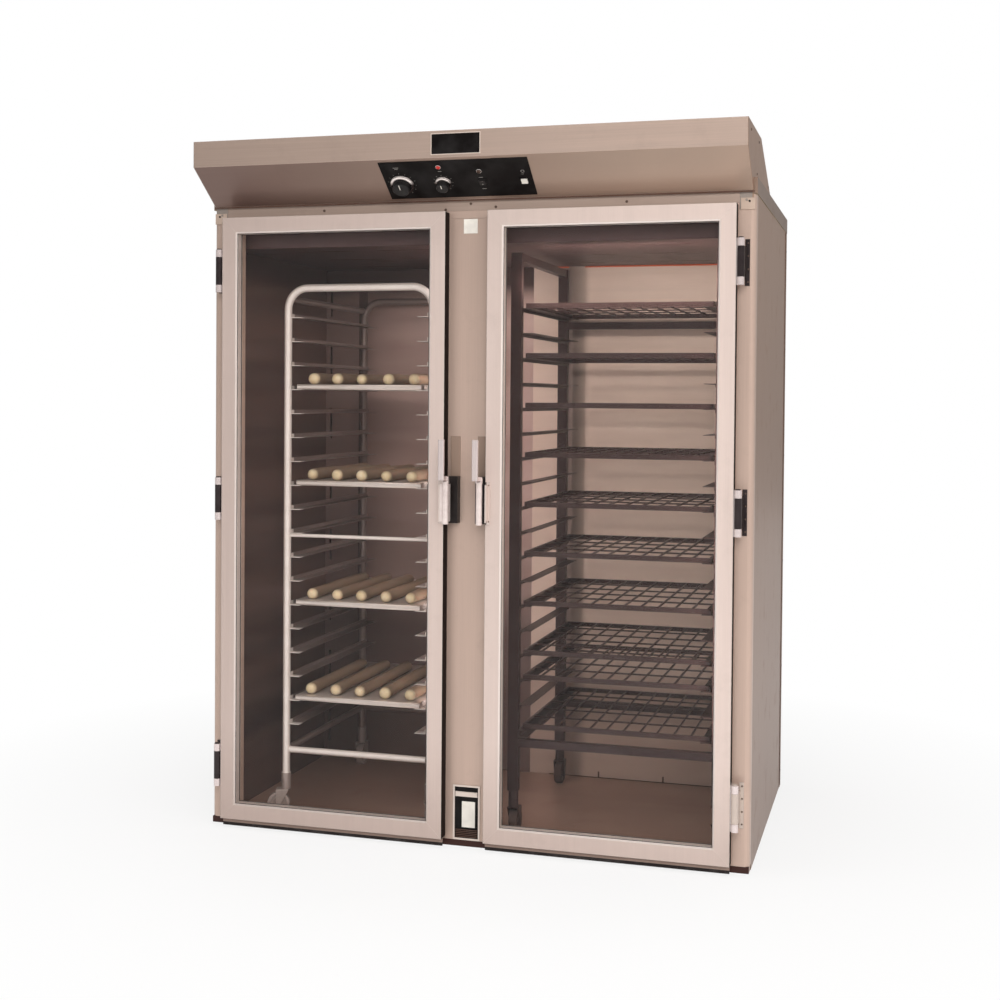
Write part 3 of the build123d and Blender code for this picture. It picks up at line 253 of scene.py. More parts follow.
def glass(name):
    """Clear pane: glass to the eye, open to shadow and diffuse rays, with faint wiping marks."""
    s = Shader(name, Roughness=0.02, IOR=1.17)
    s.bsdf.inputs["Transmission Weight"].default_value = 1.0
    wipe = s.noise(s.scaled((3, 3, 14), (0, 0.5, 0)), 1.0, 4.0)
    s.color(s.mix(s.remap(wipe, 0.35, 0.7), (0.95, 0.935, 0.925, 1), (0.985, 0.98, 0.975, 1)))
    s.rough(s.remap(wipe, 0.45, 0.8, 0.0, 0.035))
    path = s.node("ShaderNodeLightPath")
    clear = s.node("ShaderNodeBsdfTransparent")
    clear.inputs["Color"].default_value = (0.94, 0.93, 0.92, 1)
    either = s.math("MAXIMUM", path.outputs["Is Shadow Ray"], path.outputs["Is Diffuse Ray"])
    blend = s.node("ShaderNodeMixShader")
    s.link(either, blend.inputs[0])
    s.link(s.bsdf.outputs[0], blend.inputs[1])
    s.link(clear.outputs[0], blend.inputs[2])
    s.link(blend.outputs[0], s.out.inputs["Surface"])
    return s.mat


def chrome(name, color, rough):
    """Polished metal with a light haze."""
    s = Shader(name, Metallic=1.0)
    haze = s.noise(s.coord, 60.0, 5.0, 0.65)
    fine = s.noise(s.scaled((900, 900, 60)), 1.0, 3.0)
    s.color(s.mix(s.remap(haze, 0.45, 0.7), color, toned(color, 0.8)))
    s.rough(s.remap(s.math("ADD", haze, fine), 0.7, 1.3, rough - 0.05, rough + 0.12))
    s.bump(fine, 0.03, 0.0003)
    return s.mat


def enamel(name, color, rough=0.4, metal=0.0, tint=None):
    """Painted metal with orange peel and rubbed edges."""
    s = Shader(name, Metallic=metal)
    peel = s.noise(s.coord, 240.0, 2.0)
    cloud = s.noise(s.coord, 18.0, 4.0)
    base = s.mix(s.remap(cloud, 0.4, 0.7), color, toned(color, 1.3, 0.01))
    if tint:
        base = tint(s, base)
    s.color(s.mix(s.math("MULTIPLY", s.edge_mask(PAINT_EDGE), 0.5), base, linear(120, 108, 98)))
    s.rough(s.remap(peel, 0.3, 0.7, rough - 0.05, rough + 0.08))
    s.bump(peel, 0.06, 0.0004, PAINT_EDGE)
    return s.mat


def matt(s, mask):
    """No shine where the mask is 1."""
    shine = s.math("SUBTRACT", 0.5, s.math("MULTIPLY", mask, 0.5))
    s.link(shine, s.bsdf.inputs["Specular IOR Level"])


def door_tint(s, base):
    """Painted shade near black on the side faces along the outer edges, a painted highlight on the bead round
    the glass, and painted shade growing to the left and to the foot.
    """
    across, height = s.math("ABSOLUTE", s.axis(0)), s.axis(2)
    door_shade = linear(150, 128, 118)
    # The bead round the glass gets a painted highlight.
    bead = s.math("MULTIPLY", s.band(across, *BEAD_X), s.band(height, *BEAD_Z))
    base = s.mix(s.math("MULTIPLY", bead, 0.8), base, linear(250, 240, 235))
    # Painted shade, growing to the left and to the foot.
    base = s.mix(s.remap(s.axis(0), -0.85, 0.55, 0.30, 0.0), base, door_shade)
    base = s.mix(s.remap(height, 0.35, 0.05, 0.0, 0.3), base, door_shade)
    # The side faces along the outer edges are painted near black as shade, with no shine.
    inner, outer = DOOR_EDGES
    edge = s.math("MAXIMUM", s.math("LESS_THAN", across, inner), s.math("GREATER_THAN", across, outer))
    matt(s, edge)
    return s.mix(edge, base, linear(16, 3, 2))


def strike_tint(s, base):
    """The upper part of each strike is light."""
    return s.mix(s.math("GREATER_THAN", s.axis(2), 1.1834), base, linear(150, 128, 114))


def hinge_tint(s, base):
    """The lowest hinge on the right is bare steel."""
    bare = s.math("MULTIPLY", s.math("GREATER_THAN", s.axis(0), 0.5), s.math("LESS_THAN", s.axis(2), 0.5))
    return s.mix(bare, base, linear(205, 190, 180))


def hood_tint(s, base):
    """Painted shade: the sloped face is darker, and all faces are darker towards the left."""
    low_part = s.band(s.axis(2), 2.0, FOLD_Z - 0.0004)
    slope = s.math("MULTIPLY", low_part, s.math("LESS_THAN", s.axis(1), FACE - 0.013))
    base = s.mix(s.remap(s.axis(0), -0.9, 0.3, 0.28, 0.0), base, linear(140, 120, 108))
    grey = s.mix(s.remap(s.axis(0), -0.75, 0.6), linear(102, 78, 72), linear(188, 165, 148))
    return s.mix(s.math("MULTIPLY", slope, 0.8), base, grey)


def side_tint(s, base):
    """Painted light and shade on the outer face on the right alone: warm where lit, and darker towards its
    foot.
    """
    warm = s.mix(s.remap(s.axis(2), 1.9, 0.2, 0.0, 0.7), linear(180, 144, 120), linear(120, 88, 72))
    return s.mix(s.math("MULTIPLY", s.math("GREATER_THAN", s.axis(0), 0.882), 0.85), base, warm)


def liner_tint(s, base):
    """The left bay is painted darker as shade, with broad bands along its height as painted reflections, and
    a dark head as painted shade.
    """
    band = s.noise(s.scaled((0.2, 0.2, 5.0)), 1.0, 2.0, 0.5)
    dark = s.mix(s.remap(band, 0.35, 0.65), linear(84, 64, 60), linear(132, 106, 98))
    dark = s.mix(s.remap(s.axis(2), 1.80, 1.88), dark, linear(72, 54, 52))
    return s.mix(s.math("LESS_THAN", s.axis(0), LEFT_BAY), base, dark)


def duct_tint(s, base):
    """Back wall of the bays, with painted shade: the left one darker towards its left side, foot and head,
    with broad bands and a painted shadow behind its rear post; the right one with a painted shadow beside its
    rear post and a darker foot.
    """
    across, height = s.axis(0), s.axis(2)
    band = s.noise(s.scaled((0.4, 0.2, 5.0)), 1.0, 2.0, 0.5)
    dark = s.mix(s.remap(band, 0.35, 0.65), linear(178, 150, 142), linear(208, 180, 172))
    dark = s.mix(s.remap(across, -0.52, -0.84, 0.0, 0.7), dark, linear(104, 82, 78))
    dark = s.mix(s.math("MULTIPLY", s.band(across, *REAR_POST_SHADOW), 0.75), dark, linear(72, 56, 54))
    dark = s.mix(s.remap(height, 1.05, 0.55, 0.0, 0.85), dark, linear(96, 76, 72))
    dark = s.mix(s.remap(height, 1.80, 1.86), dark, linear(72, 54, 52))
    # Painted shadow beside the right rack's rear post, then painted shade at the foot.
    post_shadow = s.math("MULTIPLY", s.remap(across, 0.20, 0.12, 0.0, 0.85), s.math("GREATER_THAN", across, 0.088))
    light = s.mix(post_shadow, base, linear(84, 68, 66))
    light = s.mix(s.remap(height, 0.50, 0.38, 0.0, 0.35), light, linear(150, 124, 112))
    return s.mix(s.math("LESS_THAN", across, LEFT_BAY), light, dark)


def tube_tint(s, base):
    """The front hoop keeps its bright colour, what lies behind it is painted darker as shade, and the caster
    stems are grey.
    """
    behind = s.remap(s.axis(1), -0.416, -0.410, 0.0, 0.88)
    base = s.mix(behind, base, linear(122, 102, 96))
    return s.mix(s.math("LESS_THAN", s.axis(2), 0.1613), base, linear(168, 154, 150))


def floor_tint(s, base):
    """The front edge of the floor pan is painted dark as shadow."""
    return s.mix(s.math("LESS_THAN", s.axis(1), FACE + 0.010), base, linear(62, 34, 28))


def sweep_tint(s, base):
    """A light holder runs along the sweep, and the rest is black rubber."""
    return s.mix(s.band(s.axis(2), *HOLDER_BAND), base, linear(150, 130, 120))


INNER = linear(172, 152, 142)
skins = {
    "hood": brushed(
        "hood_sheet", linear(196, 174, 161), "x", 0.32, 0.44, 0.55, 0.06, worn=0.5, tint=hood_tint),
    "mullion": brushed("mullion_sheet", linear(206, 181, 167), "z", 0.34, 0.48, 0.45, 0.05, worn=0.3),
    "side": brushed(
        "side_sheet", linear(170, 158, 150), "z", 0.34, 0.50, 0.6, 0.05, worn=0.3, tint=side_tint),
    "roof": brushed("roof_sheet", linear(148, 126, 112), "x", 0.38, 0.52, 0.4, 0.06),
    "inner": brushed("liner_sheet", INNER, "y", 0.34, 0.50, 0.35, 0.04, bump=0.0, tint=liner_tint),
    "inner_back": brushed(
        "duct_sheet", linear(222, 200, 186), "x", 0.38, 0.54, 0.25, 0.04, bump=0.0, tint=duct_tint),
    # The ceiling's dark colour is painted shade.
    "ceiling": brushed("ceiling_sheet_shaded", linear(86, 64, 63), "x", 0.40, 0.54, 0.3, 0.06),
    "floor": brushed(
        "floor_sheet", linear(184, 150, 134), "x", 0.34, 0.50, 0.4, 0.04, bump=0.0, tint=floor_tint),
    "zinc": brushed("zinc_sheet", linear(168, 170, 172), "x", 0.35, 0.55, 0.8, 0.16),
    "motor": enamel("motor_enamel", linear(70, 74, 80), 0.45),
    "heater": brushed("heater_sheath", linear(110, 96, 86), "x", 0.35, 0.55, 0.8, 0.2),
    "board": rubber("insulation_board", linear(196, 180, 130)),
    "panel": plastic("panel_black", linear(14, 11, 11), 0.40, 700.0, 0.06, 0.0, 0.12),
    "body_plastic": plastic("control_plastic", linear(40, 38, 38), 0.5),
    "knob": plastic("knob_black", linear(16, 13, 13), 0.30, 600.0, 0.04, 0.1, 0.3),
    "rocker_black": plastic("rocker_black", linear(22, 19, 19), 0.35, shine=0.3),
    "rocker_white": plastic("rocker_white", linear(226, 222, 214), 0.35),
    "gland": plastic("gland_black", linear(34, 33, 33), 0.5),
    "brass": brushed("inlet_brass", linear(190, 158, 96), "z", 0.25, 0.40, 0.95, 0.1),
    "door": brushed(
        "door_aluminium", linear(226, 208, 200), "z", 0.34, 0.46, 0.35, 0.04, worn=0.6, tint=door_tint),
    "trim": brushed("light_trim", linear(232, 218, 208), "x", 0.30, 0.44, 0.4, 0.05),
    "seam": rubber("seam_brown", linear(84, 60, 50)),
    "glass": glass("pane_glass"),
    "gasket": rubber("gasket_rubber", linear(30, 26, 25)),
    "hinge_leaf": enamel("hinge_leaf", linear(40, 31, 32), 0.32, 0.3, hinge_tint),
    "chrome": chrome("polished_chrome", (0.72, 0.69, 0.66, 1), 0.12),
    "satin": brushed("satin_chrome", linear(236, 222, 220), "z", 0.20, 0.30, 0.6, 0.05),
    "tab": brushed("corner_tab", linear(206, 184, 168), "x", 0.34, 0.46, 0.4, 0.05),
    "sweep": rubber("sweep_rubber", linear(22, 12, 11), sweep_tint),
    "strike": enamel("strike_black", linear(28, 22, 21), 0.45, 0.1, strike_tint),
    "tube": brushed(
        "rack_tube", linear(246, 238, 234), "z", 0.32, 0.42, 0.4, 0.03, bump=0.01, tint=tube_tint),
    "tray": brushed("tray_sheet", linear(226, 216, 210), "y", 0.30, 0.42, 0.5, 0.05, bump=0.02),
    "rack_dark": brushed("rack_dark", linear(62, 45, 44), "z", 0.38, 0.54, 0.35, 0.10),
    # The right rack's casters and wheels are copies of the left ones' skins, painted dark as shade.
    "shaded_caster": brushed("shaded_caster", linear(84, 64, 60), "x", 0.38, 0.54, 0.35, 0.10),
    "wire": brushed("shelf_wire", linear(66, 48, 46), "y", 0.32, 0.48, 0.4, 0.10),
    "caster": brushed("caster_steel", linear(206, 192, 186), "x", 0.28, 0.42, 0.5, 0.08),
    "wheel": rubber("wheel_rubber", linear(158, 144, 140)),
    "shaded_wheel": rubber("shaded_wheel_rubber", linear(74, 58, 54)),
    "screw": brushed("screw_steel", linear(120, 102, 92), "x", 0.28, 0.42, 0.8, 0.1),
}

for _, side in SIDES:
    latch = Shader(f"{side}_latch_metal", Metallic=0.45)
    haze = latch.remap(latch.noise(latch.coord, 60.0, 4.0), 0.4, 0.7)
    polish = latch.mix(haze, linear(248, 234, 230), linear(232, 216, 212))
    outward = latch.math("ABSOLUTE", latch.axis(0))
    # On the right latch a band of the body is painted near black as shade.
    if side == "right":
        polish = latch.mix(latch.band(outward, *LATCH_BAND), polish, linear(20, 10, 10))
    past_band = latch.math("GREATER_THAN", outward, LATCH_BAND[1])
    latch.color(latch.mix(past_band, polish, linear(226, 210, 202)))
    latch.rough(latch.remap(haze, 0.0, 1.0, 0.10, 0.22))
    latch.bump(haze, 0.04, 0.0003)
    skins[f"{side}_latch"] = latch.mat

dress = {
    "left_side_panel": "side", "right_side_panel": "side", "back_panel": "side", "roof_panel": "roof",
    "face_frame": "mullion", "center_mullion": "mullion",
    "inner_liners": "inner", "rear_duct_panel": "inner_back",
    "ceiling_duct_panel": "ceiling", "floor_pan": "floor", "insulation": "board",
    "hood_front": "hood", "hood_cover": "hood", "hood_end_caps": "side", "control_panel": "panel",
    "blank_plates": "panel", "control_bodies": "body_plastic", "pilot_lamps": "rocker_black",
    "blower_housing": "zinc", "blower_wheel": "zinc", "blower_motor": "motor", "heater_element": "heater",
    "humidifier_pan": "tray", "water_inlet": "brass", "cable_gland": "gland",
    "frame_hinge_leaves": "hinge_leaf", "latch_strikes": "strike",
    "temperature_knob": "knob", "humidity_knob": "knob",
    "fan_rocker": "rocker_black", "power_rocker": "rocker_white",
    "left_latch_lever": "satin", "right_latch_lever": "satin",
    "left_rack_frame": "tube", "left_rack_trays": "tray", "dough_sticks": "tray",
    "right_rack_frame": "rack_dark", "right_rack_shelves": "wire",
}
for _, side in SIDES:
    dress[f"{side}_door_frame"] = "door"
    dress[f"{side}_door_panes"] = "glass"
    dress[f"{side}_door_gasket"] = "sweep"
    dress[f"{side}_door_hinges"] = "satin"
    dress[f"{side}_latch_body"] = f"{side}_latch"
# The right rack's forks and wheels take the copies painted dark as shade.
for node in nodes:
    if "_wheel_" in node:
        dress[node] = "wheel" if node.startswith("left") else "shaded_wheel"
    elif "_fork_" in node:
        dress[node] = "caster" if node.startswith("left") else "shaded_caster"


def dress_node(node, mat):
    """One skin for all slots of a node."""
    for slot in nodes[node].material_slots:
        slot.material = mat


for node, skin in dress.items():
    dress_node(node, skins[skin])

# Mesh helpers


def new_piece(name, bm, mat, body, smooth=True):
    """A named piece from a finished mesh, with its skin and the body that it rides."""
    mesh = bpy.data.meshes.new(name)
    bm.normal_update()
    bm.to_mesh(mesh)
    bm.free()
    piece = bpy.data.objects.new(name, mesh)
    bpy.context.scene.collection.objects.link(piece)
    mesh.materials.append(mat)
    if smooth:
        for polygon in mesh.polygons:
            polygon.use_smooth = True
    if body:
        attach(piece, body)
    return piece


def lathe(bm, profile, matrix, steps):
    """Turns (radius, height) points about the local Z of matrix."""
    rings = []
    for radius, height in profile:
        if radius < 1e-6:
            rings.append([bm.verts.new(matrix @ Vector((0, 0, height)))])
            continue
        ring = []
        for step in range(steps):
            turn = 2 * math.pi * step / steps
            spot = Vector((radius * math.cos(turn), radius * math.sin(turn), height))
            ring.append(bm.verts.new(matrix @ spot))
        rings.append(ring)
    for low, high in zip(rings, rings[1:]):
        for step in range(steps):
            a, b = low[step % len(low)], low[(step + 1) % len(low)]
            c, d = high[(step + 1) % len(high)], high[step % len(high)]
            corners = [v for i, v in enumerate((a, b, c, d)) if v not in (a, b, c, d)[:i]]
            if len(corners) > 2:
                bm.faces.new(corners)


def facing(point, normal, up=(0, 0, 1)):
    """A matrix whose local Z is the normal, at a point."""
    z = Vector(normal).normalized()
    x = Vector(up).cross(z)
    if x.length < 1e-4:
        x = Vector((1, 0, 0))
    x.normalize()
    y = z.cross(x)
    return Matrix.Translation(point) @ Matrix((x, y, z)).transposed().to_4x4()


def screw_head(bm, point, normal, radius, height):
    """A plain domed head."""
    dome = [(radius, height * 0.35), (radius * 0.86, height * 0.8), (radius * 0.5, height)]
    lathe(bm, [(radius, 0.0), *dome, (0, height)], facing(point, normal), 20)


def absorb(bm, part):
    """Moves a finished part into a mesh under construction."""
    copy = bpy.data.meshes.new("part")
    part.to_mesh(copy)
    part.free()
    bm.from_mesh(copy)
    bpy.data.meshes.remove(copy)


def slab(bm, low, high, bevel=0.0006):
    """A bevelled plate between two corners."""
    part = bmesh.new()
    bmesh.ops.create_cube(part, size=1.0)
    for vert in part.verts:
        vert.co = Vector([(l + h) / 2 + v * (h - l) for l, h, v in zip(low, high, vert.co)])
    limit = min(h - l for l, h in zip(low, high)) * 0.45
    edges = list(part.edges)
    bmesh.ops.bevel(part, geom=edges, offset=min(bevel, limit), segments=2, profile=0.7, affect="EDGES")
    absorb(bm, part)


def border(bm, low, high, width, bevel=0.0006):
    """Four strips round a rectangle that lies in the XZ plane."""
    x0, y0, z0 = low
    x1, y1, z1 = high
    slab(bm, (x0, y0, z0), (x1, y1, z0 + width), bevel)
    slab(bm, (x0, y0, z1 - width), (x1, y1, z1), bevel)
    slab(bm, (x0, y0, z0 + width), (x0 + width, y1, z1 - width), bevel)
    slab(bm, (x1 - width, y0, z0 + width), (x1, y1, z1 - width), bevel)


def flat_mark(bm, wide, tall, matrix):
    """A thin printed bar, centred on the matrix."""
    part = bmesh.new()
    bmesh.ops.create_cube(part, size=1.0)
    part.transform(Matrix.Diagonal((wide, tall, 0.00012, 1)))
    part.transform(matrix)
    absorb(bm, part)


def peg(bm, segments, foot, head, depth, matrix):
    """A short cone, centred on the matrix."""
    part = bmesh.new()
    bmesh.ops.create_cone(part, segments=segments, radius1=foot, radius2=head, depth=depth, cap_ends=True)
    part.transform(matrix)
    absorb(bm, part)


# Name plate, label tile and service plate
PLATE_Z = (HOOD_TOP + FOLD_Z) / 2
bm = bmesh.new()
border(bm, (-0.0795, HOOD_FRONT - 0.0025, PLATE_Z - 0.033), (0.0795, HOOD_FRONT, PLATE_Z + 0.033), 0.0022)
new_piece("name_plate_frame", bm, skins["trim"], "cabinet", False)
bm = bmesh.new()
slab(bm, (-0.0764, HOOD_FRONT - 0.0016, PLATE_Z - 0.0299), (0.0764, HOOD_FRONT, PLATE_Z + 0.0299))
for rivet_x in (-0.070, 0.070):
    screw_head(bm, (rivet_x, HOOD_FRONT - 0.0015, PLATE_Z), (0, -1, 0), 0.0028, 0.0012)
plate_face = new_piece("name_plate_face", bm, skins["panel"], "cabinet", True)
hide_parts("blank_plates")
bm = bmesh.new()
slab(bm, (-0.023, FACE - 0.002, 1.952), (0.023, FACE, 1.998), 0.0009)
border(bm, (-0.016, FACE - 0.0026, 1.959), (0.016, FACE - 0.0019, 1.991), 0.0012, 0.0003)
new_piece("label_tile", bm, skins["rocker_white"], "cabinet", False)
bm = bmesh.new()
border(bm, (-0.045, FACE - 0.004, 0.021), (0.045, FACE, 0.197), 0.006, 0.0010)
slab(bm, (-0.037, FACE - 0.0046, 0.160), (0.037, FACE, 0.176), 0.0014)
new_piece("service_plate_frame", bm, skins["trim"], "cabinet", False)
bm = bmesh.new()
slab(bm, (-0.0388, FACE - 0.0012, 0.0268), (0.0388, FACE, 0.1912))
slab(bm, (-0.0388, FACE - 0.0030, 0.179), (0.0388, FACE, 0.188))
new_piece("service_plate_back", bm, skins["panel"], "cabinet", False)
bm = bmesh.new()
slab(bm, (-0.015, FACE - 0.0038, 0.062), (0.029, FACE - 0.0006, 0.145), 0.0012)
slab(bm, (0.0105, FACE - 0.0044, 0.066), (0.0120, FACE - 0.003, 0.141), 0.0004)
new_piece("service_insert", bm, skins["rocker_white"], "cabinet", False)
bm = bmesh.new()
for step in range(5):
    foot = 0.030 + 0.0055 * step
    slab(bm, (-0.036, FACE - 0.0030, foot), (0.036, FACE - 0.0008, foot + 0.0025), 0.0006)
new_piece("service_vent", bm, skins["seam"], "cabinet", False)

# Control panel: knob rings, pointers, flutes, dial marks, lamp bezels and lenses
slope_normal = Vector((0, -math.sin(SLOPE_ANGLE), -math.cos(SLOPE_ANGLE)))
slope_down = Vector((0, math.cos(SLOPE_ANGLE), -math.sin(SLOPE_ANGLE)))


def on_slope(x, down, out=0.0):
    """A point of the sloped face, so far along the hood, down from its fold and out of it."""
    return Vector((x, HOOD_FRONT, FOLD_Z)) + slope_down * down + slope_normal * out


def slope_matrix(x, down, out):
    """Local X along the hood, local Y up the slope, local Z out of the panel."""
    axes = Matrix((Vector((1, 0, 0)), -slope_down, slope_normal)).transposed().to_4x4()
    return Matrix.Translation(on_slope(x, down, out)) @ axes


FLUTES = 28
# The ring's upper half is painted bright as a reflection and its lower half dark as shade; the paint turns
# with the knob.
ring = Shader("ring_metal", Metallic=0.5, Roughness=0.25)
lit = ring.remap(ring.axis(2), on_slope(0, CONTROL_ROW + 0.012).z, on_slope(0, CONTROL_ROW - 0.004).z)
grain = ring.noise(ring.coord, 400.0, 2.0)
bright = ring.mix(grain, linear(255, 246, 242), linear(232, 220, 214))
ring.color(ring.mix(lit, linear(34, 26, 26), bright))
ring.bump(grain, 0.03, 0.0002)
ring_metal = ring.mat
for knob, knob_x, radius, _ in KNOBS:
    place = slope_matrix(knob_x, CONTROL_ROW, 0.0026)
    bm = bmesh.new()
    lathe(bm, [
        (radius * 0.74, 0.0055), (radius * 0.76, 0.0082), (radius * 0.84, 0.0090), (radius * 0.95, 0.0078),
        (radius * 1.004, 0.0050), (radius * 1.006, 0.0012), (radius * 0.97, 0.0005),
    ], place, 72)
    new_piece(f"{knob}_ring", bm, ring_metal, knob, True)
    bm = bmesh.new()
    slab(bm, (-0.0011, radius * 0.10, 0.0285), (0.0011, radius * 0.62, 0.0296), 0.0003)
    bm.transform(place)
    new_piece(f"{knob}_pointer", bm, skins["rocker_white"], knob, False)
    bm = bmesh.new()
    for flute in range(FLUTES):
        turn = Matrix.Rotation(2 * math.pi * flute / FLUTES, 4, "Z")
        out = Matrix.Translation((radius * 0.72, 0, 0.0165))
        peg(bm, 10, 0.0011, 0.0009, 0.018, place @ turn @ out)
    new_piece(f"{knob}_flutes", bm, skins["knob"], knob, True)

print_ink = plastic("panel_print", linear(150, 146, 142), 0.6)
bm = bmesh.new()
for _, knob_x, radius, count in KNOBS:
    place = slope_matrix(knob_x, CONTROL_ROW, 0.002)
    for tick in range(count):
        turn = Matrix.Rotation(math.radians(-150 + 300 * tick / (count - 1)), 4, "Z")
        length = 0.0052 if tick % 3 == 0 else 0.0032
        out = Matrix.Translation((0, radius * 1.12 + length / 2, 0.0001))
        flat_mark(bm, 0.0008, length, place @ turn @ out)
# Each bar's place along the hood, distance down the slope, width and height
for mark_x, mark_down, wide, tall in (
    (-0.205, 0.036, 0.018, 0.0016), (-0.205, 0.042, 0.011, 0.0012), (-0.066, 0.058, 0.012, 0.0012),
    (0.060, 0.090, 0.012, 0.0012), (0.195, 0.082, 0.008, 0.0012), (0.060, 0.140, 0.014, 0.0014),
):
    flat_mark(bm, wide, tall, slope_matrix(mark_x, mark_down, 0.0021))
circle = [(0.0044, 0.0), (0.0044, 0.0002), (0.0058, 0.0002), (0.0058, 0.0)]
lathe(bm, circle, slope_matrix(0.197, 0.070, 0.002), 32)
new_piece("panel_marks", bm, print_ink, "cabinet", False)

bm = bmesh.new()
bezel = [(0.0066, 0.0), (0.0088, 0.0), (0.0090, 0.0012), (0.0082, 0.0022), (0.0067, 0.0016), (0.0066, 0.0)]
for lamp_x, lamp_down in ((-0.066, 0.039), (0.060, 0.062)):
    lathe(bm, bezel, slope_matrix(lamp_x, lamp_down, 0.002), 40)
new_piece("lamp_bezels", bm, skins["chrome"], "cabinet", True)
lens = Shader("lamp_lens", Roughness=0.12, IOR=1.49, Coat_Weight=0.4)
ribs = lens.noise(lens.scaled((300, 300, 300)), 1.0, 2.0)
red = lens.mix(ribs, (0.42, 0.012, 0.010, 1), (0.62, 0.03, 0.02, 1))
dark = lens.mix(ribs, (0.05, 0.03, 0.025, 1), (0.09, 0.055, 0.04, 1))
lens.color(lens.mix(lens.remap(lens.axis(0), -0.01, 0.01), red, dark))
lens.bump(ribs, 0.1, 0.0003, 0.0004)
dress_node("pilot_lamps", lens.mat)

bm = bmesh.new()
place = slope_matrix(0.060, 0.112, 0.005)
peg(bm, 16, 0.0016, 0.0014, 0.0003, place @ Matrix.Translation((0, -0.0055, 0.0002)))
peg(bm, 16, 0.0007, 0.0006, 0.0003, place @ Matrix.Translation((0, 0.0055, 0.0002)))
new_piece("fan_rocker_marks", bm, print_ink, "fan_rocker", False)

# Screws, corner tabs, sheet seams and a painted shadow line under the hood slope
FRONT_SCREWS = ((0.0, 2.046), (0.082, 2.034), (-0.084, 2.029), (-0.50, 2.038), (0.50, 2.038))
HOOD_END_SCREWS = ((-0.62, 2.225), (-0.40, 2.225), (-0.10, 2.13), (-0.45, 2.12))
REAR_ROWS = (0.06, 0.45, 0.84, 1.23, 1.62, 1.98)
bm = bmesh.new()
for x, z in FRONT_SCREWS:
    screw_head(bm, (x, FACE - 0.0015, z), (0, -1, 0), 0.0042, 0.0024)
for side, _ in SIDES:
    for y, z in HOOD_END_SCREWS:
        screw_head(bm, (side * HOOD_HALF, y, z), (side, 0, 0), 0.0042, 0.0020)
    for height in HINGE_HEIGHTS:
        for rise in (-0.058, -0.020, 0.020, 0.058):
            screw_head(bm, (side * 0.8715, FACE - 0.003, height + rise), (0, -1, 0), 0.0030, 0.0014)
for z in REAR_ROWS:
    for x in (-0.875, 0.0, 0.875):
        screw_head(bm, (x, REAR, z), (0, 1, 0), 0.0048, 0.0020)
    for side, _ in SIDES:
        screw_head(bm, (side * HALF_WIDTH, 0.505, z), (side, 0, 0), 0.0042, 0.0012)
for x in (-0.62, -0.31, 0.31, 0.62):
    for z in (0.030, 2.010):
        screw_head(bm, (x, REAR, z), (0, 1, 0), 0.0048, 0.0020)
new_piece("cabinet_screws", bm, skins["screw"], "cabinet", True)
bm = bmesh.new()
for side, _ in SIDES:
    low, high = sorted((side * 0.8480, side * 0.8900))
    slab(bm, (low, FACE - 0.0040, 2.003), (high, FACE, 2.038), 0.0006)
new_piece("corner_tabs", bm, skins["tab"], "cabinet", False)
bm = bmesh.new()
for side, _ in SIDES:
    screw_head(bm, (side * 0.8740, FACE - 0.0040, 2.028), (0, -1, 0), 0.0034, 0.0014)
new_piece("corner_tab_screws", bm, skins["gasket"], "cabinet", True)
bm = bmesh.new()
# A dark sheet along the foot of the hood slope is painted shadow; the two upright pieces on the sides are
# seams.
shadow_line_y, shadow_line_z = SLOPE_FOOT
slab(bm, (-0.8900, shadow_line_y - 0.0006, shadow_line_z - 0.0050), (0.8900, shadow_line_y + 0.0004, shadow_line_z - 0.0010), 0.0002)
for side, _ in SIDES:
    low, high = sorted((side * (HALF_WIDTH - 0.0004), side * (HALF_WIDTH + 0.0005)))
    slab(bm, (low, 0.4835, 0.010), (high, 0.4875, 2.048), 0.0002)
new_piece("seams_and_shadow_line", bm, skins["seam"], "cabinet", False)
for side, name in SIDES:
    bm = bmesh.new()
    for z in (1.045, 1.159):
        screw_head(bm, (side * 0.0818, FACE - 0.054, z), (0, -1, 0), 0.0022, 0.0012)
    for height in HINGE_HEIGHTS:
        for rise in (-0.036, 0.0, 0.036):
            screw_head(bm, (side * 0.8435, FACE - 0.020, height + rise), (side, 0, 0), 0.0030, 0.0012)
    new_piece(f"{name}_door_screws", bm, skins["screw"], f"{name}_door", True)

# Glazing beads
for side, name in SIDES:
    bm = bmesh.new()
    x_low, x_high = sorted(side * x for x in GLASS_X)
    z_low, z_high = GLASS_Z
    corners = ((x_low, z_low), (x_high, z_low), (x_high, z_high), (x_low, z_high))
    for depth in (-0.0448, -0.0130):
        for start, end in zip(corners, corners[1:] + corners[:1]):
            a = Vector((start[0], FACE + depth, start[1]))
            run = Vector((end[0], FACE + depth, end[1])) - a
            lathe(bm, [(0.0011, 0.0), (0.0011, run.length)], facing(a, run, (0, 1, 0)), 8)
    new_piece(f"{name}_glazing_bead", bm, skins["gasket"], f"{name}_door", True)

# Bread dough and the beads of its trays
dough = Shader("dough", Roughness=0.75)
pore = dough.noise(dough.coord, 240.0, 4.0, 0.6)
blotch = dough.noise(dough.scaled((30, 9, 30)), 1.0, 4.0)
flour = dough.remap(dough.noise(dough.scaled((60, 18, 60)), 1.0, 6.0, 0.7), 0.50, 0.66)
crumb = dough.mix(dough.remap(blotch, 0.3, 0.7), linear(226, 208, 170), linear(240, 222, 188))
crumb = dough.mix(dough.math("MULTIPLY", flour, 0.6), crumb, linear(242, 234, 212))
# The dough behind the front ends is painted darker as shade.
behind = dough.remap(dough.axis(1), -0.413, -0.398, 0.0, 0.85)
dough.color(dough.mix(behind, crumb, linear(106, 80, 68)))
dough.bsdf.inputs["Subsurface Weight"].default_value = 0.12
dough.bsdf.inputs["Subsurface Scale"].default_value = 0.006
dough.rough(dough.remap(pore, 0.3, 0.7, 0.62, 0.85))
dough.bump(dough.math("ADD", pore, dough.math("MULTIPLY", blotch, 1.4)), 0.35, 0.0012)

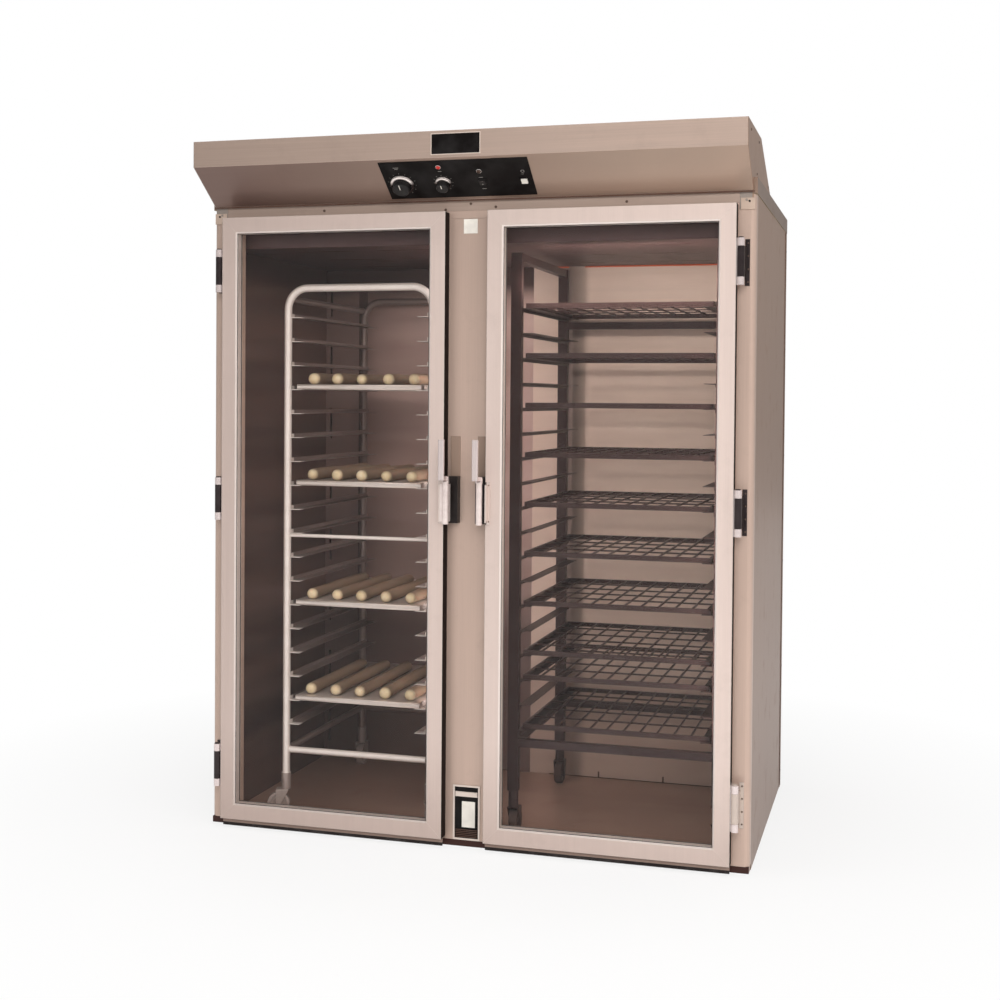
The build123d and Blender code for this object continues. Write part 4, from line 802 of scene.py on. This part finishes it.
# Each stick is a row of rings, with a crease along its top and a flat foot on the tray
bm = bmesh.new()
BODY_RINGS, CAP_RINGS, AROUND = 18, 5, 18
STICKS, STICK_PITCH, STICK_LENGTH = 5, 0.089, 0.514
for level in TRAY_LEVELS:
    bed = LOWEST_RUNNER + RUNNER_PITCH * level + TRAY_TOP
    for place in range(STICKS):
        x_mid = TRAY_MID + STICK_PITCH * (place - STICKS // 2) + rng.uniform(-0.004, 0.004)
        y_start = TRAY_FRONT + 0.019 + rng.uniform(0.0, 0.006)
        length = STICK_LENGTH - rng.uniform(0.0, 0.014)
        wave = rng.uniform(0, 6.28)
        sway = rng.uniform(0.0008, 0.0022)
        thick = rng.uniform(0.0196, 0.0212)
        stations = []
        for cap in range(1, CAP_RINGS + 1):
            lean = math.pi / 2 * cap / (CAP_RINGS + 1)
            stations.append((thick * (1 - math.cos(lean)), math.sin(lean)))
        straight = length - 2 * thick
        stations += [(thick + straight * body / BODY_RINGS, 1.0) for body in range(BODY_RINGS + 1)]
        stations += [(length - along, full) for along, full in reversed(stations[:CAP_RINGS])]
        rings = []
        for along, full in stations:
            share = along / length
            radius = thick * full * (1 + 0.035 * math.sin(9 * share + wave) + rng.uniform(-0.010, 0.010))
            x = x_mid + sway * math.sin(5 * share + wave)
            points = []
            for step in range(AROUND):
                turn = 2 * math.pi * step / AROUND
                dx = radius * 1.02 * math.cos(turn)
                dz = radius * 0.98 * math.sin(turn)
                crease = 1 - 0.05 * math.exp(-((turn - math.pi / 2) / 0.22) ** 2)
                height = max(bed + 0.0002, bed + thick * 0.90 + dz * crease)
                points.append(bm.verts.new((x + dx, y_start + along, height)))
            rings.append(points)
        for low, high in zip(rings, rings[1:]):
            for step in range(AROUND):
                after = (step + 1) % AROUND
                bm.faces.new((low[step], low[after], high[after], high[step]))
        bm.faces.new(list(reversed(rings[0])))
        bm.faces.new(rings[-1])
loaves = new_piece("dough_loaves", bm, dough.mat, "left_rack", True)
loaves.modifiers.new("smooth", "SUBSURF").levels = 1
loaves.modifiers["smooth"].render_levels = 1
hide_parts("dough_sticks")
bm = bmesh.new()
for level in TRAY_LEVELS:
    base = LOWEST_RUNNER + RUNNER_PITCH * level
    for rise in (0.0022, 0.0148):
        start = Vector((TRAY_MID - TRAY_HALF, TRAY_FRONT, base + rise))
        run = Vector((2 * TRAY_HALF, 0, 0))
        bead = [(0.0, 0.0), (0.0022, 0.0006), (0.0022, run.length - 0.0006), (0.0, run.length)]
        lathe(bm, bead, facing(start, run), 12)
new_piece("tray_beads", bm, skins["tray"], "left_rack", True)

# Sealant at the ceiling, clips at the floor and caster hubs
sealant = rubber("ceiling_sealant", linear(196, 92, 62))
bm = bmesh.new()
for x_start, x_end in ((0.04, 0.116), (0.175, 0.85)):
    start = Vector((x_start, DUCT_FACE - 0.0001, 1.9225))
    run = Vector((x_end - x_start, 0, 0))
    full = run.length
    bead = [(0.0, 0.0), (0.0028, 0.002), (0.0030, full / 2), (0.0028, full - 0.002), (0.0, full)]
    lathe(bm, bead, facing(start, run), 10)
new_piece("ceiling_sealant", bm, sealant, "cabinet", True)
bm = bmesh.new()
for x in (-0.60, -0.20, 0.245, 0.487, 0.75):
    slab(bm, (x - 0.003, DUCT_FACE - 0.0016, FLOOR_TOP), (x + 0.003, DUCT_FACE, 0.044), 0.0004)
for low, high in ((-0.835, -0.050), (0.055, 0.835)):
    slab(bm, (low, DUCT_FACE - 0.0021, FLOOR_TOP), (high, DUCT_FACE, FLOOR_TOP + 0.0030), 0.0004)
new_piece("duct_clips", bm, skins["seam"], "cabinet", False)

hub_cap = [(0.0052, 0.0), (0.0118, 0.0), (0.0122, 0.0030), (0.0110, 0.0044), (0.0056, 0.0046), (0.0052, 0.0)]
rim_ring = [(0.0258, 0.0002), (0.0262, 0.0016), (0.0240, 0.0020), (0.0130, 0.0008), (0.0128, 0.0002)]
TRAIL, HUB_OUT = 0.025, 0.0088
# Each rack's wheel columns, front swivel line, rear axle line, swivel turns in degrees and hub skin
for rack, xs, front, back, turns, skin in (
    ("left_rack", (-0.6703, -0.1587), -0.4313, 0.2633, (-160, 75), "caster"),
    ("right_rack", (0.1225, 0.7825), -0.4125, 0.2275, (90, 60), "shaded_caster"),
):
    for place, x, turn in zip(("left", "right"), xs, turns):
        swivelled, fixed = ("front", front, TRAIL, math.radians(turn)), ("rear", back, 0.0, math.pi / 2)
        for end, y, trail, angle in (swivelled, fixed):
            body = f"{rack}_wheel_{end}_{place}"
            center = Vector((x + trail * math.cos(angle), y + trail * math.sin(angle), WHEEL_Z))
            across = Vector((-math.sin(angle), math.cos(angle), 0))
            bm = bmesh.new()
            for way in (-1, 1):
                matrix = facing(center + across * way * HUB_OUT, across * way)
                lathe(bm, hub_cap, matrix, 28)
                lathe(bm, rim_ring, matrix, 36)
            new_piece(f"{body}_hub", bm, skins[skin], body, True)

# Camera, fitted to the photo: turns in degrees, focal length and middle row in pixels of its frame
YAW, PITCH, ROLL = 16.026, 1.174, 0.454
FRAME, SENSOR = 1000, 36
FOCAL, MIDDLE_ROW = 1428.702, 428.371
CAMERA_PLACE = (1.345, -4.861, 1.429)
yaw, pitch, roll = math.radians(YAW), math.radians(PITCH), math.radians(ROLL)
forward = Vector((-math.sin(yaw) * math.cos(pitch), math.cos(yaw) * math.cos(pitch), -math.sin(pitch)))
right = Vector((math.cos(yaw), math.sin(yaw), 0))
up = right.cross(forward)
right_rolled = math.cos(roll) * right + math.sin(roll) * up
up_rolled = -math.sin(roll) * right + math.cos(roll) * up
camera_data = bpy.data.cameras.new("camera")
camera_data.sensor_width = SENSOR
camera_data.lens = FOCAL / FRAME * SENSOR
camera_data.shift_y = (MIDDLE_ROW - FRAME / 2) / FRAME
camera = bpy.data.objects.new("camera", camera_data)
turned = Matrix((right_rolled, up_rolled, -forward)).transposed().to_4x4()
camera.matrix_world = Matrix.Translation(CAMERA_PLACE) @ turned
bpy.context.scene.collection.objects.link(camera)
bpy.context.scene.camera = camera

# Studio floor, which is white to the camera and pale to the light
ground = Shader("studio_floor", Roughness=0.7)
shade = ground.noise(ground.coord, 0.8, 3.0)
ground.color(ground.mix(ground.remap(shade, 0.3, 0.7), (0.80, 0.79, 0.78, 1), (0.84, 0.83, 0.82, 1)))
path = ground.node("ShaderNodeLightPath")
seen = ground.math("MAXIMUM", path.outputs["Is Camera Ray"], path.outputs["Is Transmission Ray"])
seen = ground.math("MAXIMUM", seen, ground.math("MULTIPLY", path.outputs["Is Glossy Ray"], 0.6))
white = ground.node("ShaderNodeEmission")
white.inputs["Color"].default_value = (1, 1, 1, 1)
white.inputs["Strength"].default_value = 1.0
blend = ground.node("ShaderNodeMixShader")
far = ground.node("ShaderNodeVectorMath", operation="LENGTH")
ground.link(ground.coord, far.inputs[0])
share = ground.remap(far.outputs["Value"], 1.1, 2.4, 0.80, 1.0)
ground.link(ground.math("MULTIPLY", seen, share), blend.inputs[0])
ground.link(ground.bsdf.outputs[0], blend.inputs[1])
ground.link(white.outputs[0], blend.inputs[2])
ground.link(blend.outputs[0], ground.out.inputs["Surface"])
floor_bm = bmesh.new()
bmesh.ops.create_grid(floor_bm, x_segments=4, y_segments=4, size=14)
floor = new_piece("studio_floor", floor_bm, ground.mat, None, smooth=False)

# World, which is white to the camera and softer to the light
world = bpy.data.worlds.new("studio")
bpy.context.scene.world = world
world.use_nodes = True
tree = world.node_tree
background = tree.nodes["Background"]
background.inputs["Color"].default_value = (1.0, 0.985, 0.97, 1)
background.inputs["Strength"].default_value = 0.42
bright = tree.nodes.new("ShaderNodeBackground")
bright.inputs["Color"].default_value = (1, 1, 1, 1)
bright.inputs["Strength"].default_value = 1.0
rays = tree.nodes.new("ShaderNodeLightPath")
either = tree.nodes.new("ShaderNodeMath")
either.operation = "MAXIMUM"
tree.links.new(rays.outputs["Is Camera Ray"], either.inputs[0])
tree.links.new(rays.outputs["Is Transmission Ray"], either.inputs[1])
mixed = tree.nodes.new("ShaderNodeMixShader")
tree.links.new(either.outputs[0], mixed.inputs[0])
tree.links.new(background.outputs[0], mixed.inputs[1])
tree.links.new(bright.outputs[0], mixed.inputs[2])
tree.links.new(mixed.outputs[0], tree.nodes["World Output"].inputs["Surface"])


def area_light(name, place, target, size, power, color=(1, 1, 1)):
    """A soft light that only lights: neither the camera nor a mirror sees it."""
    data = bpy.data.lights.new(name, "AREA")
    data.shape = "RECTANGLE"
    data.size, data.size_y = size
    data.energy = power
    data.color = color
    light = bpy.data.objects.new(name, data)
    light.location = place
    light.rotation_mode = "QUATERNION"
    light.rotation_quaternion = (Vector(target) - Vector(place)).to_track_quat("-Z", "Y")
    light.visible_camera = False
    light.visible_glossy = False
    light.visible_transmission = False
    bpy.context.scene.collection.objects.link(light)


# Each light's name, place, target, size, power in watts and colour. The last three stand inside the bays.
STRIP = (0.05, 1.50)
for light in (
    ("key_light", (1.5, -5.4, 3.4), (0.1, -0.3, 1.1), (2.8, 2.4), 176, (1.0, 0.965, 0.94)),
    ("fill_light", (3.6, -3.4, 2.2), (0.2, 0, 1.1), (2.4, 3.0), 48, (1.0, 0.95, 0.91)),
    ("top_light", (0, -0.6, 4.6), (0, 0, 1.0), (3.0, 2.4), 110),
    ("left_bay_light", (-0.075, -0.445, 1.08), (-0.52, 0.36, 1.08), STRIP, 5.5, (1.0, 0.88, 0.84)),
    ("right_bay_upper_light", (0.46, -0.445, 1.80), (0.46, 0.36, 1.74), (0.60, 0.04), 3.4, (1.0, 0.93, 0.87)),
    ("right_bay_light", (0.815, -0.445, 1.12), (0.35, 0.36, 1.12), STRIP, 9.5, (1.0, 0.92, 0.86)),
):
    area_light(*light)
